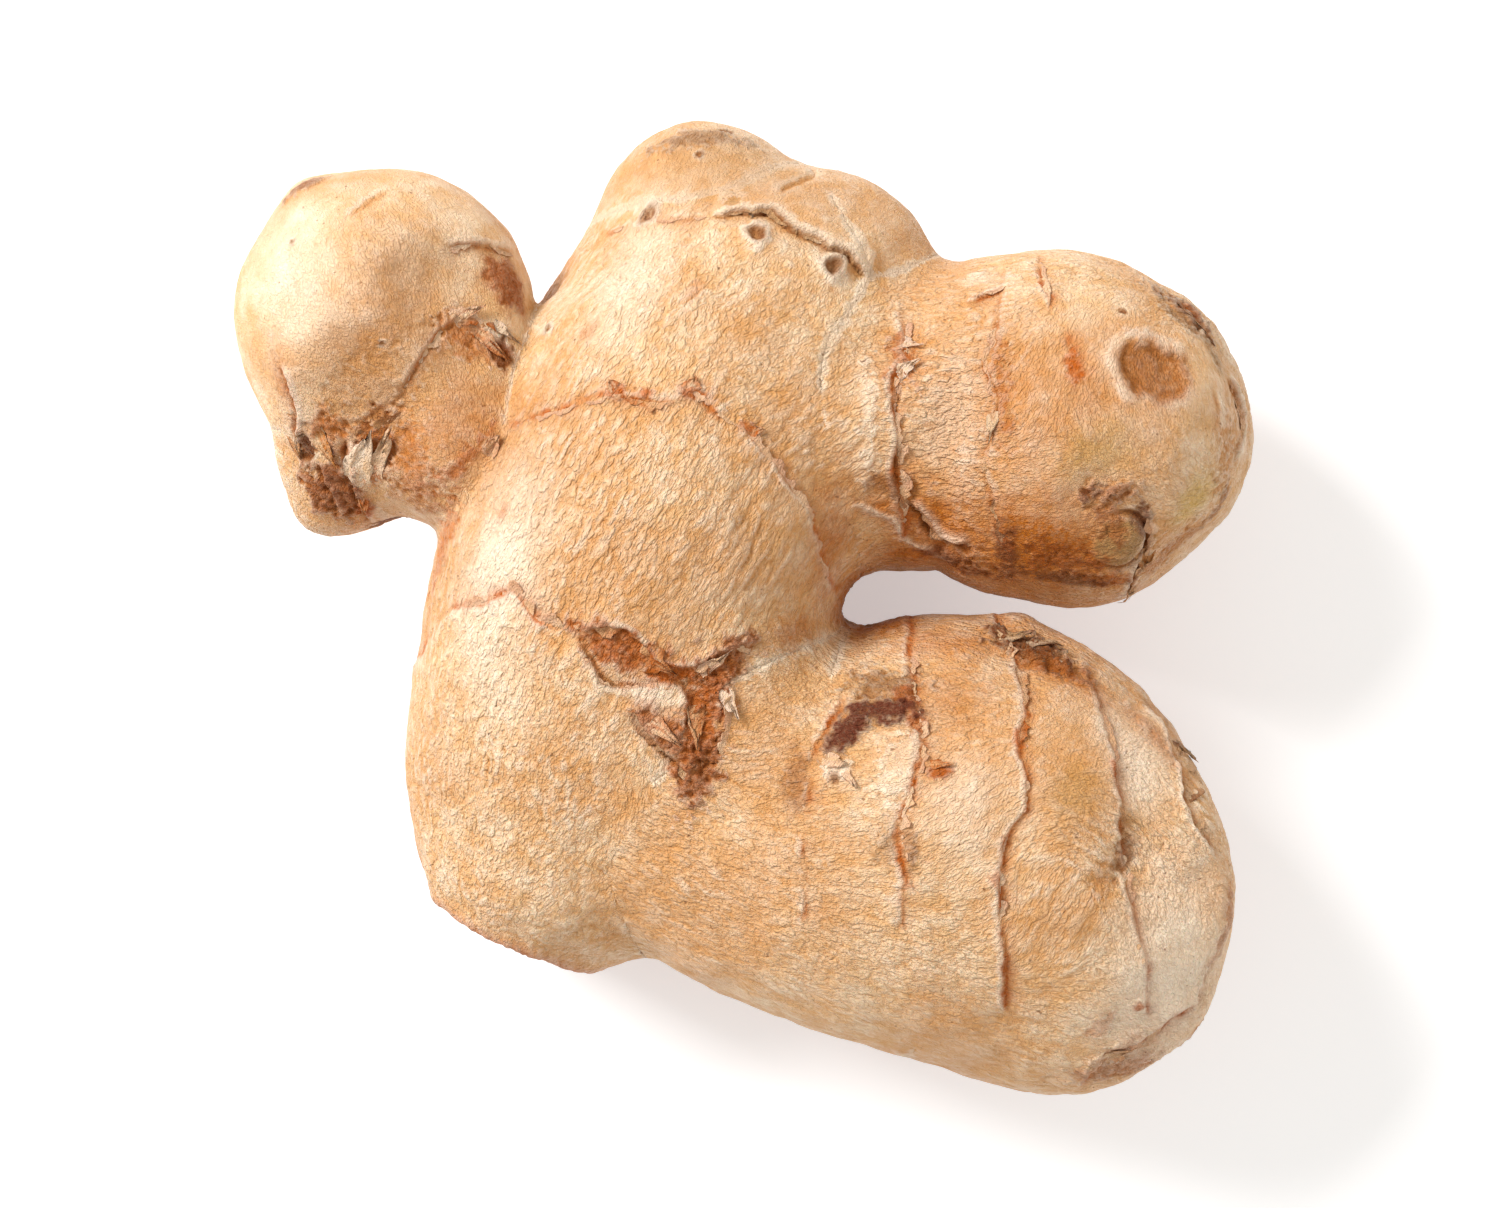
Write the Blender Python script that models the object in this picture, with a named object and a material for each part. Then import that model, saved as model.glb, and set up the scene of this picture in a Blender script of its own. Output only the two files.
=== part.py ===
"""A hand of fresh ginger root lying on its broad side: one grown solid.

The frame is metres with +Z up. The origin is on the table, under the middle of the root's box. +X runs
along the root's long side, from the round knob to the two thick fingers, and +Y runs towards its crown.
"""

import math

import bmesh
import bpy
from mathutils import Matrix, Vector

MM = 0.001

# Each finger is a swollen stem. Its stations run from where it grows out to its tip, in millimetres:
# x, y, height of the centre above the table, half width, half thickness.
FINGERS = {
    "trunk": (
        (-18.8, -23.6, 15.4, 16.2, 15.5),
        (-17.6, -16.6, 16.4, 18.0, 17.3),
        (-13.9, -7.2, 19.4, 20.3, 18.6),
        (-10.4, 6.2, 20.8, 21.2, 19.2),
        (-6.2, 17.0, 20.0, 21.4, 18.8),
        (-2.2, 24.8, 17.5, 18.8, 17.5),
    ),
    "saddle": (
        (-6.0, -10.0, 19.0, 14.6, 16.8),
        (-1.8, -14.6, 19.0, 15.2, 17.4),
    ),
    "crown": (
        (-2.6, 29.8, 15.6, 15.4, 15.9),
        (-4.0, 36.4, 15.6, 12.4, 12.6),
        (-4.4, 39.4, 15.8, 10.8, 10.8),
    ),
    "crown_middle": (
        (0.0, 24.0, 18.0, 13.6, 15.4),
        (2.4, 31.2, 17.2, 12.6, 14.0),
    ),
    "crown_shoulder": (
        (4.6, 28.4, 17.0, 14.4, 14.4),
        (8.2, 32.6, 16.8, 11.9, 12.0),
        (9.2, 34.0, 17.0, 10.4, 10.4),
    ),
    "round_knob": (
        (-24.6, 13.8, 20.8, 9.0, 10.4),
        (-31.8, 19.6, 22.4, 11.2, 12.6),
        (-36.6, 27.6, 23.2, 15.4, 14.6),
        (-38.0, 29.8, 23.2, 15.0, 13.8),
    ),
    "knob_nose": (
        (-38.0, 21.0, 22.2, 11.8, 10.4),
        (-41.0, 15.8, 20.4, 8.4, 7.8),
        (-42.0, 13.8, 19.8, 6.6, 6.2),
    ),
    "right_finger": (
        (4.0, 17.6, 19.4, 14.8, 14.8),
        (16.4, 18.6, 19.0, 15.6, 14.9),
        (24.2, 19.0, 19.2, 16.2, 15.2),
        (31.2, 18.0, 19.8, 18.4, 16.8),
        (35.5, 16.8, 20.0, 17.6, 16.0),
    ),
    "lower_finger": (
        (-10.0, -17.2, 17.4, 16.2, 16.4),
        (0.4, -22.2, 18.4, 18.2, 17.6),
        (12.2, -25.0, 19.1, 20.9, 18.8),
        (22.6, -26.4, 18.8, 22.5, 19.2),
        (30.9, -31.2, 18.0, 20.2, 18.0),
    ),
    "lower_shoulder": (
        (20.6, -21.8, 19.2, 18.4, 17.0),
        (27.2, -22.9, 19.0, 18.8, 16.8),
    ),
    "lower_heel": (
        (26.6, -31.6, 18.2, 17.0, 16.0),
        (33.0, -36.8, 17.0, 15.0, 13.8),
    ),
}

RING_SIDES = 32  # points round a finger
RINGS_PER_SPAN = 6  # rings between two stations
CAP_RINGS = 7  # rings in each rounded end

VOXEL = 0.9 * MM  # grid on which the fingers grow together
WEB_PASSES = 4  # smoothing passes that round the forks between fingers
WEB_FACTOR = 0.5  # how far each pass moves a point towards its neighbours' middle
TRIANGLES = 5800
TABLE_SIDE = 300 * MM
TABLE_THICKNESS = 20 * MM

SKIN_COLOUR = (0.66, 0.42, 0.22, 1.0)
SKIN_ROUGHNESS = 0.62


def clear_scene():
    """Empties the scene of whatever it starts with."""
    for obj in list(bpy.data.objects):
        bpy.data.objects.remove(obj)


def through(stations, span, t):
    """The point at share t of one span of a Catmull-Rom curve through a finger's stations."""
    last = len(stations) - 1
    before, start = stations[max(span - 1, 0)], stations[span]
    end, after = stations[min(span + 1, last)], stations[min(span + 2, last)]
    return tuple(
        0.5 * (2 * b + (c - a) * t + (2 * a - 5 * b + 4 * c - d) * t**2 + (3 * b - a - 3 * c + d) * t**3)
        for a, b, c, d in zip(before, start, end, after)
    )


def stem_line(stations):
    """Centre, half width and half thickness at each ring along a finger, ends not yet rounded."""
    line = [
        through(stations, span, step / RINGS_PER_SPAN)
        for span in range(len(stations) - 1)
        for step in range(RINGS_PER_SPAN)
    ]
    line.append(stations[-1])
    return [(Vector(point[:3]), point[3], point[4]) for point in line]


def with_round_ends(line):
    """The line with a half ball of shrinking rings added at each end."""
    tail_way = (line[0][0] - line[1][0]).normalized()
    tip_way = (line[-1][0] - line[-2][0]).normalized()
    ends = []
    poles = []
    for (centre, width, thickness), way in ((line[0], tail_way), (line[-1], tip_way)):
        reach = way * (width + thickness) / 2
        rings = []
        for ring in range(1, CAP_RINGS + 1):
            angle = math.pi / 2 * ring / (CAP_RINGS + 1)
            shrink = math.cos(angle)
            rings.append((centre + reach * math.sin(angle), width * shrink, thickness * shrink))
        ends.append(rings)
        poles.append(centre + reach)
    return ends[0][::-1] + line + ends[1], poles


def add_finger(bm, stations):
    """Lofts one closed, oval stem along its stations into the mesh."""
    rings, (tail, tip) = with_round_ends(stem_line(stations))
    loops = []
    for index, (centre, width, thickness) in enumerate(rings):
        ahead = rings[min(index + 1, len(rings) - 1)][0] - rings[max(index - 1, 0)][0]
        side = Vector((ahead.y, -ahead.x, 0.0)).normalized()
        rise = side.cross(ahead).normalized()
        loop = []
        for corner in range(RING_SIDES):
            turn = 2 * math.pi * corner / RING_SIDES
            offset = side * width * math.cos(turn) + rise * thickness * math.sin(turn)
            loop.append(bm.verts.new(centre + offset))
        loops.append(loop)
    for low, high in zip(loops, loops[1:]):
        for corner in range(RING_SIDES):
            after = (corner + 1) % RING_SIDES
            bm.faces.new((low[corner], low[after], high[after], high[corner]))
    for loop, pole in ((loops[0][::-1], tail), (loops[-1], tip)):
        top = bm.verts.new(pole)
        for corner in range(RING_SIDES):
            bm.faces.new((loop[corner], loop[(corner + 1) % RING_SIDES], top))


def grown_together():
    """All the fingers in one mesh, still crossing each other, in metres."""
    bm = bmesh.new()
    for stations in FINGERS.values():
        add_finger(bm, stations)
    bmesh.ops.recalc_face_normals(bm, faces=bm.faces)
    bmesh.ops.transform(bm, matrix=Matrix.Scale(MM, 4), verts=bm.verts)
    mesh = bpy.data.meshes.new("ginger_rhizome")
    bm.to_mesh(mesh)
    bm.free()
    root = bpy.data.objects.new("ginger_rhizome", mesh)
    bpy.context.collection.objects.link(root)
    return root


def table_cutter():
    """The slab under the root. Cutting with it leaves a small flat where each finger rests."""
    bpy.ops.mesh.primitive_cube_add(size=1.0, location=(0, 0, -TABLE_THICKNESS / 2))
    table = bpy.context.object
    table.name = "table_cutter"
    table.scale = (TABLE_SIDE, TABLE_SIDE, TABLE_THICKNESS)
    table.hide_render = True
    table.display_type = "WIRE"
    return table


def fuse(root, table):
    """Grows the fingers into one skin, rounds the forks, thins the mesh and flattens the resting spots."""
    skin = root.modifiers.new("one_skin", "REMESH")
    skin.mode = "VOXEL"
    skin.voxel_size = VOXEL
    webs = root.modifiers.new("round_forks", "SMOOTH")
    webs.factor = WEB_FACTOR
    webs.iterations = WEB_PASSES
    bpy.context.view_layer.update()
    grown = root.evaluated_get(bpy.context.evaluated_depsgraph_get()).to_mesh()
    triangles = sum(len(face.vertices) - 2 for face in grown.polygons)
    thin = root.modifiers.new("fewer_triangles", "DECIMATE")
    thin.ratio = TRIANGLES / triangles
    rest = root.modifiers.new("resting_spots", "BOOLEAN")
    rest.operation = "DIFFERENCE"
    rest.solver = "EXACT"
    rest.object = table


def centre_on_origin(root):
    """Moves the root sideways until the middle of its box is over the origin."""
    bpy.context.view_layer.update()
    grown = root.evaluated_get(bpy.context.evaluated_depsgraph_get()).to_mesh()
    for axis in range(2):
        places = [vertex.co[axis] for vertex in grown.vertices]
        root.location[axis] = -(min(places) + max(places)) / 2


def skin_material():
    """Plain tan, slightly waxy skin."""
    skin = bpy.data.materials.new("ginger_skin")
    skin.use_nodes = True
    shader = skin.node_tree.nodes["Principled BSDF"]
    shader.inputs["Base Color"].default_value = SKIN_COLOUR
    shader.inputs["Roughness"].default_value = SKIN_ROUGHNESS
    shader.inputs["Metallic"].default_value = 0.0
    return skin


def main():
    """Builds the root, rests it on the table and centres it."""
    clear_scene()
    root = grown_together()
    fuse(root, table_cutter())
    centre_on_origin(root)
    root.data.materials.append(skin_material())
    root.data.shade_smooth()


main()
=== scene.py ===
"""A hand of fresh ginger root: its grown shape, its wrinkled skin and a plain studio around it.

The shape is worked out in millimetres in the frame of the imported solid: +X towards the two thick fingers,
+Y towards the crown, +Z up from the table. Meshes are written in metres.
"""

import itertools
import logging
import math
from dataclasses import dataclass, field
from enum import Enum

import bmesh
import bpy
import numpy as np
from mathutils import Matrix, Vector


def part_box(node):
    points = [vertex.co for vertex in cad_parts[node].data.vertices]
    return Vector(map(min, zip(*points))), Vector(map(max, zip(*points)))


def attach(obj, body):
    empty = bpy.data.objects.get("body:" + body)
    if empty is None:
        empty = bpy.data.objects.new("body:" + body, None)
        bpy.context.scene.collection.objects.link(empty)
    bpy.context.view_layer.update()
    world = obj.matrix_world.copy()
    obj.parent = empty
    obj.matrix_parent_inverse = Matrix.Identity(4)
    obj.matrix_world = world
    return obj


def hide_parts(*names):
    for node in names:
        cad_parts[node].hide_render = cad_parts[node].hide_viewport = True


MM = 0.001
NODE = "ginger_rhizome"
BODY = "root"
SAY = 1.3  # mm over which one finger's wrinkles give way to the next one's

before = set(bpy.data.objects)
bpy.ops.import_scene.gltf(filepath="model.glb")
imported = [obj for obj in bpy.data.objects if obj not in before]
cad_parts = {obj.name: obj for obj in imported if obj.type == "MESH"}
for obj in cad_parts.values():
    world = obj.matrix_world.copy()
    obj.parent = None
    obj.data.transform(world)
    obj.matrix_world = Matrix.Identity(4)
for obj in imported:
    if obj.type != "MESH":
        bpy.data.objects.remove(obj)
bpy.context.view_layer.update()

Floats = np.ndarray
Indices = np.ndarray
Point3 = tuple[float, float, float]
Station = tuple[float, float, float, float, float]
Point2 = tuple[float, float]

log = logging.getLogger("ginger")


# --- Helpers on whole arrays ---


def smoothstep(low: float, high: float, value: Floats) -> Floats:
    """A smooth ramp: t*t*(3 - 2t), where t runs from 0 at low to 1 at high.

    Args:
        low: Where the ramp starts. It may be above high, and the ramp then falls.
        high: Where the ramp ends.
        value: The numbers to place on the ramp.

    Returns:
        Shares from 0 to 1, one for each number.
    """
    t = np.clip((value - low) / (high - low), 0.0, 1.0)
    return t * t * (3.0 - 2.0 * t)


def bell(distance: Floats, width: float) -> Floats:
    """A bell curve exp(-(distance / width)^2)."""
    return np.exp(-((distance / width) ** 2))


class GradientNoise:
    """A smooth random field in space, the same on each run for the same seed."""

    LATTICE = 256

    def __init__(self, seed: int) -> None:
        """Shuffles the lattice and gives each of its points a direction.

        Args:
            seed: The number that settles the whole field.
        """
        draw = np.random.default_rng(seed)
        self.order = np.tile(draw.permutation(self.LATTICE), 2)
        ways = draw.normal(size=(self.LATTICE, 3))
        self.ways = ways / np.linalg.norm(ways, axis=1, keepdims=True)

    def at(self, points: Floats) -> Floats:
        """One octave. Each lattice point adds the dot product of its direction and the offset from it,
        faded by the quintic t^3 (6 t^2 - 15 t + 10) along each axis.

        Args:
            points: An N by 3 array, one lattice cell to a unit.

        Returns:
            N numbers, nearly all between -0.7 and 0.7.
        """
        cell = np.floor(points).astype(np.int64)
        offset = points - cell
        fade = offset**3 * (offset * (offset * 6.0 - 15.0) + 10.0)
        total = np.zeros(len(points))
        for corner in itertools.product((0, 1), repeat=3):
            x, y, z = ((cell + np.array(corner)) % self.LATTICE).T
            key = self.order[self.order[self.order[x] + y] + z]
            lean = np.einsum("ij,ij->i", self.ways[key], offset - np.array(corner))
            share = np.prod(np.where(np.array(corner, bool), fade, 1.0 - fade), axis=1)
            total += share * lean
        return total

    def octaves(self, points: Floats, count: int, gain: float = 0.5) -> Floats:
        """The sum of count octaves, each of half the size and gain times the height of the one before."""
        return sum(gain**n * self.at(points * 2.0**n + 17.3 * n) for n in range(count))


def distance_to_path(places: Floats, path: Floats) -> tuple[Floats, Floats, Floats]:
    """The nearest point of a path of straight legs to each place, all seen from above.

    On one leg from a to b the nearest point is a + t (b - a), with t = (p - a).(b - a) / |b - a|^2 held
    between 0 and 1, and the side is the sign of the cross product of b - a and p - a.

    Args:
        places: An N by 2 array.
        path: An M by 2 array of the path's corners.

    Returns:
        The distance, the side (+1 on the left of the path's way, -1 on the right) and the distance
        run along the path, one of each for each place.
    """
    nearest = np.full(len(places), np.inf)
    side = np.ones(len(places))
    run = np.zeros(len(places))
    done = 0.0
    for start, end in zip(path[:-1], path[1:]):
        leg = end - start
        length = float(np.hypot(*leg))
        away = places - start
        t = np.clip(away @ leg / length**2, 0.0, 1.0)
        gap = away - t[:, None] * leg
        distance = np.hypot(gap[:, 0], gap[:, 1])
        closer = distance < nearest
        nearest = np.where(closer, distance, nearest)
        side = np.where(closer, np.sign(leg[0] * away[:, 1] - leg[1] * away[:, 0]), side)
        run = np.where(closer, done + t * length, run)
        done += length
    return nearest, side, run


def smooth_curve(points: Floats, steps: int) -> Floats:
    """A Catmull-Rom curve through the points, with this many steps to a span.

    Between p1 and p2 it is half of 2 p1 + (p2 - p0) t + (2 p0 - 5 p1 + 4 p2 - p3) t^2
    + (3 p1 - p0 - 3 p2 + p3) t^3, and the end points stand in for the missing neighbours.

    Args:
        points: An M by K array.
        steps: The steps in each span.

    Returns:
        A ((M - 1) * steps + 1) by K array.
    """
    padded = np.vstack([points[:1], points, points[-1:]])
    before, start, end, after = (padded[n : n + len(points) - 1, None, :] for n in range(4))
    t = (np.arange(steps) / steps)[None, :, None]
    curve = 0.5 * (
        2 * start
        + (end - before) * t
        + (2 * before - 5 * start + 4 * end - after) * t**2
        + (3 * start - before - 3 * end + after) * t**3
    )
    return np.vstack([curve.reshape(-1, points.shape[1]), points[-1:]])


# --- Fingers: the grown shape ---


@dataclass(frozen=True)
class Spine:
    """A finger's centreline, sampled: place, half width, half thickness and its own three directions."""

    centre: Floats
    width: Floats
    thickness: Floats
    ahead: Floats
    side: Floats
    rise: Floats


@dataclass(frozen=True)
class Finger:
    """One swollen stem of the root.

    Attributes:
        stations: x, y, height of the centre, half width and half thickness, from root to tip.
        web: How widely its skin rounds into what it grows from.
        creping: How deeply its skin is wrinkled along its length, 1 on an ordinary finger.
    """

    stations: tuple[Station, ...]
    web: float
    creping: float

    STEPS = 7
    RING_SIDES = 48
    CAP_RINGS = 9
    MARGIN = 7.0
    FAR = 40.0

    def spine(self) -> Spine:
        """Samples the finger: a Catmull-Rom curve through its stations, with side = ahead x up and
        rise = side x ahead.

        Returns:
            The centreline.
        """
        line = smooth_curve(np.array(self.stations), self.STEPS)
        centre = line[:, :3]
        ahead = np.gradient(centre, axis=0)
        ahead /= np.linalg.norm(ahead, axis=1, keepdims=True)
        side = np.cross(ahead, np.array([0.0, 0.0, 1.0]))
        side /= np.linalg.norm(side, axis=1, keepdims=True)
        rise = np.cross(side, ahead)
        return Spine(centre, line[:, 3], line[:, 4], ahead, side, rise)

    def heading(self) -> Floats:
        """The finger's direction a in plan, as (cos 2a, sin 2a)."""
        first, last = np.array(self.stations[0]), np.array(self.stations[-1])
        angle = math.atan2(last[1] - first[1], last[0] - first[0])
        return np.array([math.cos(2 * angle), math.sin(2 * angle)])

    def skin(self) -> tuple[Floats, Indices]:
        """The finger as a closed surface: an oval ring carried along the spine, shrunk by the cosine and
        pushed on by the sine of an angle at each rounded end.

        Returns:
            The points, and the four-cornered faces that join them.
        """
        spine = self.spine()
        angles = np.linspace(0.0, math.pi / 2, self.CAP_RINGS + 1)[1:] * 0.98
        rings = []
        for end, way in ((0, -1.0), (-1, 1.0)):
            reach = way * 0.5 * (spine.width[end] + spine.thickness[end]) * np.sin(angles)
            centre = spine.centre[end] + reach[:, None] * spine.ahead[end]
            ones = np.ones((len(angles), 1))
            rings.append(
                (
                    centre,
                    spine.width[end] * np.cos(angles),
                    spine.thickness[end] * np.cos(angles),
                    ones * spine.side[end],
                    ones * spine.rise[end],
                )
            )
        body = (spine.centre, spine.width, spine.thickness, spine.side, spine.rise)
        start = tuple(part[::-1] for part in rings[0])
        centre, width, thickness, side, rise = (
            np.concatenate(parts) for parts in zip(start, body, rings[1])
        )
        turn = np.linspace(0.0, 2 * math.pi, self.RING_SIDES, endpoint=False)
        points = (
            centre[:, None, :]
            + (width[:, None] * np.cos(turn))[..., None] * side[:, None, :]
            + (thickness[:, None] * np.sin(turn))[..., None] * rise[:, None, :]
        ).reshape(-1, 3)
        ring, corner = np.meshgrid(np.arange(len(centre) - 1), np.arange(self.RING_SIDES), indexing="ij")
        after = (corner + 1) % self.RING_SIDES
        low, high = ring * self.RING_SIDES, (ring + 1) * self.RING_SIDES
        faces = np.stack([low + corner, low + after, high + after, high + corner], axis=-1).reshape(-1, 4)
        return points, faces

    def distance(self, points: Floats) -> Floats:
        """How far points are from the finger's skin, taken as a row of ovals along its spine.

        With o the offset from an oval's centre and q = sqrt((o.side / width)^2 + (o.rise / thickness)^2
        + (o.ahead / their mean)^2), the distance is |o| - |o| / q, and the nearest oval counts.

        Args:
            points: An N by 3 array.

        Returns:
            N distances. A point further away than MARGIN from the finger's box counts as FAR.
        """
        spine = self.spine()
        widest = float(max(spine.width.max(), spine.thickness.max())) + self.MARGIN
        inside = np.all(points > spine.centre.min(axis=0) - widest, axis=1)
        inside &= np.all(points < spine.centre.max(axis=0) + widest, axis=1)
        near = points[inside]
        best = np.full(len(near), np.inf)
        for n, (width, thickness) in enumerate(zip(spine.width, spine.thickness)):
            away = near - spine.centre[n]
            ahead, side, rise = away @ spine.ahead[n], away @ spine.side[n], away @ spine.rise[n]
            mean = 0.5 * (width + thickness)
            ratio = np.sqrt((side / width) ** 2 + (rise / thickness) ** 2 + (ahead / mean) ** 2)
            reach = np.sqrt(ahead**2 + side**2 + rise**2)
            best = np.minimum(best, reach - reach / np.maximum(ratio, 1e-6))
        distance = np.full(len(points), self.FAR)
        distance[inside] = best
        return distance


class Growth(Enum):
    """The root's fingers, each growing out of the ones before it."""

    TRUNK = Finger(
        (
            (-18.8, -23.6, 15.4, 16.2, 15.5),
            (-17.6, -16.6, 16.4, 18.0, 17.3),
            (-13.9, -7.2, 19.4, 20.3, 18.6),
            (-10.4, 6.2, 20.8, 21.2, 19.2),
            (-6.2, 17.0, 20.0, 21.4, 18.8),
            (-2.2, 24.8, 17.5, 18.8, 17.5),
        ),
        web=0.0,
        creping=1.0,
    )
    CROWN = Finger(
        (
            (-2.6, 29.8, 15.6, 15.4, 15.9),
            (-4.0, 36.4, 15.6, 12.4, 12.6),
            (-4.4, 39.4, 15.8, 10.8, 10.8),
        ),
        web=4.0,
        creping=0.55,
    )
    CROWN_MIDDLE = Finger(
        (
            (0.0, 24.0, 18.0, 13.6, 15.4),
            (2.4, 31.2, 17.2, 12.6, 14.0),
        ),
        web=5.0,
        creping=0.6,
    )
    CROWN_SHOULDER = Finger(
        (
            (4.6, 28.4, 17.0, 14.4, 14.4),
            (8.2, 32.6, 16.8, 11.9, 12.0),
            (9.2, 34.0, 17.0, 10.4, 10.4),
        ),
        web=3.0,
        creping=0.4,
    )
    SADDLE = Finger(
        (
            (-6.0, -10.0, 19.0, 14.6, 16.8),
            (-1.8, -14.6, 19.0, 15.2, 17.4),
        ),
        web=5.0,
        creping=0.8,
    )
    RIGHT_FINGER = Finger(
        (
            (4.0, 17.6, 19.4, 14.8, 14.8),
            (16.4, 18.6, 19.0, 15.6, 14.9),
            (24.2, 19.0, 19.2, 16.2, 15.2),
            (31.2, 18.0, 19.8, 18.4, 16.8),
            (35.5, 16.8, 20.0, 17.6, 16.0),
        ),
        web=4.0,
        creping=0.9,
    )
    LOWER_FINGER = Finger(
        (
            (-10.0, -17.2, 17.4, 16.2, 16.4),
            (0.4, -22.2, 18.4, 18.2, 17.6),
            (12.2, -25.0, 19.1, 20.9, 18.8),
            (22.6, -26.4, 18.8, 22.5, 19.2),
            (30.9, -31.2, 18.0, 20.2, 18.0),
        ),
        web=2.5,
        creping=0.8,
    )
    LOWER_SHOULDER = Finger(
        (
            (20.6, -21.8, 19.2, 18.4, 17.0),
            (27.2, -22.9, 19.0, 18.8, 16.8),
        ),
        web=6.0,
        creping=0.8,
    )
    LOWER_HEEL = Finger(
        (
            (26.6, -31.6, 18.2, 17.0, 16.0),
            (33.0, -36.8, 17.0, 15.0, 13.8),
        ),
        web=2.5,
        creping=0.7,
    )
    ROUND_KNOB = Finger(
        (
            (-24.6, 13.8, 20.8, 9.0, 10.4),
            (-31.8, 19.6, 22.4, 11.2, 12.6),
            (-36.6, 27.6, 23.2, 15.4, 14.6),
            (-38.0, 29.8, 23.2, 15.0, 13.8),
        ),
        web=1.6,
        creping=0.3,
    )
    KNOB_NOSE = Finger(
        (
            (-38.0, 21.0, 22.2, 11.8, 10.4),
            (-41.0, 15.8, 20.4, 8.4, 7.8),
            (-42.0, 13.8, 19.8, 6.6, 6.2),
        ),
        web=2.0,
        creping=0.8,
    )


@dataclass(frozen=True)
class Blend:
    """The fingers' fields joined into one: distance to the whole skin, and each finger's say at a point."""

    distance: Floats
    say: dict[Growth, Floats]


def blend_fingers(points: Floats, shift: Floats) -> Blend:
    """Joins the fingers' distances a and b, one after the other, by the smooth minimum.

    With h = 0.5 + 0.5 (b - a) / web held between 0 and 1, it is b (1 - h) + a h - web h (1 - h). Each
    finger's say is exp(-(its distance - the least distance) / SAY), and the says add up to 1.

    Args:
        points: An N by 3 array.
        shift: How far the fingers' stations are moved.

    Returns:
        The joined distance and the says.
    """
    joined = np.full(len(points), Finger.FAR)
    least = np.full(len(points), Finger.FAR)
    distances: dict[Growth, Floats] = {}
    for growth in Growth:
        web = growth.value.web
        distance = growth.value.distance(points - shift)
        distances[growth] = distance
        least = np.minimum(least, distance)
        if web == 0.0:
            joined = np.minimum(joined, distance)
            continue
        share = np.clip(0.5 + 0.5 * (joined - distance) / web, 0.0, 1.0)
        joined = joined * (1 - share) + distance * share - web * share * (1 - share)
    says = {growth: np.exp(-(distance - least) / SAY) for growth, distance in distances.items()}
    total = sum(says.values())
    return Blend(joined, {growth: say / total for growth, say in says.items()})


# --- Marks on the skin ---


class Face(Enum):
    """Where on the root a mark lies."""

    TOP = 1
    UNDER = -1
    ALL_ROUND = 0


WAYS = tuple(range(0, 180, 30))  # plan directions that wrinkles can run in, in degrees


def way_name(way: int) -> str:
    """The name of the mesh attribute that says how much the wrinkles run in a direction."""
    return f"way_{way:03d}"


def way_shares(double: Floats) -> Floats:
    """Splits each point's wrinkle direction between the two nearest of WAYS.

    The direction comes as (cos 2a, sin 2a), because a wrinkle has no front or back. With s the way's share
    of the angle between two neighbouring ways, the shares are cos^2 and sin^2 of s * 90 degrees.

    Args:
        double: An N by 2 array of (cos 2a, sin 2a), of any length.

    Returns:
        An N by 6 array of shares that add up to 1.
    """
    angle = np.degrees(np.arctan2(double[:, 1], double[:, 0])) / 2 % 180.0
    step = 180.0 / len(WAYS)
    apart = np.abs((angle[:, None] - np.array(WAYS)[None, :] + 90.0) % 180.0 - 90.0) / step
    return np.where(apart < 1.0, np.cos(np.minimum(apart, 1.0) * math.pi / 2) ** 2, 0.0)


def combed(noise: GradientNoise, points: Floats, size: float, stretch: float, shares: Floats) -> Floats:
    """Noise drawn out along the wrinkles: for each way a the point is turned by -a in plan, divided by
    size * stretch along it and by size across it, and the ways' noises n are mixed by their shares w
    as sum(w n) / sqrt(sum(w^2)).

    Args:
        noise: The field.
        points: An N by 3 array, in mm.
        size: How far apart the wrinkles are, in mm.
        stretch: How many times longer than apart they are.
        shares: Each way's share at each point.

    Returns:
        N numbers around 0.
    """
    total = np.zeros(len(points))
    for way, share in zip(WAYS, shares.T):
        near = share > 0.01
        turn = math.radians(way)
        along = points[near, 0] * math.cos(turn) + points[near, 1] * math.sin(turn)
        across = points[near, 1] * math.cos(turn) - points[near, 0] * math.sin(turn)
        places = np.stack([along / (size * stretch), across / size, points[near, 2] / size], axis=1)
        total[near] += share[near] * noise.at(places + 7.7 * way)
    return total / np.sqrt((shares**2).sum(axis=1))


class Stain(Enum):
    """What a mark is coloured with, and the name of the mesh attribute that holds it."""

    RUST = "rust"
    UMBER = "umber"
    PURPLE = "purple"
    YELLOW = "yellow"
    GREY = "grey"
    PALE = "pale"
    # painted shade: an orange-brown laid where the skin lies in shade, on flanks that face away from the
    # key lamp, in crotches and under fingers
    PAINTED_SHADE = "amber"


TINTS = (Stain.PALE, Stain.PAINTED_SHADE, Stain.YELLOW, Stain.GREY)
Stains = tuple[tuple[Stain, float], ...]


def stained(**amounts: float) -> Stains:
    """Stains with how strong each is from 0 to 1, as in stained(rust=0.8)."""
    return tuple((Stain(name), amount) for name, amount in amounts.items())


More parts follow.
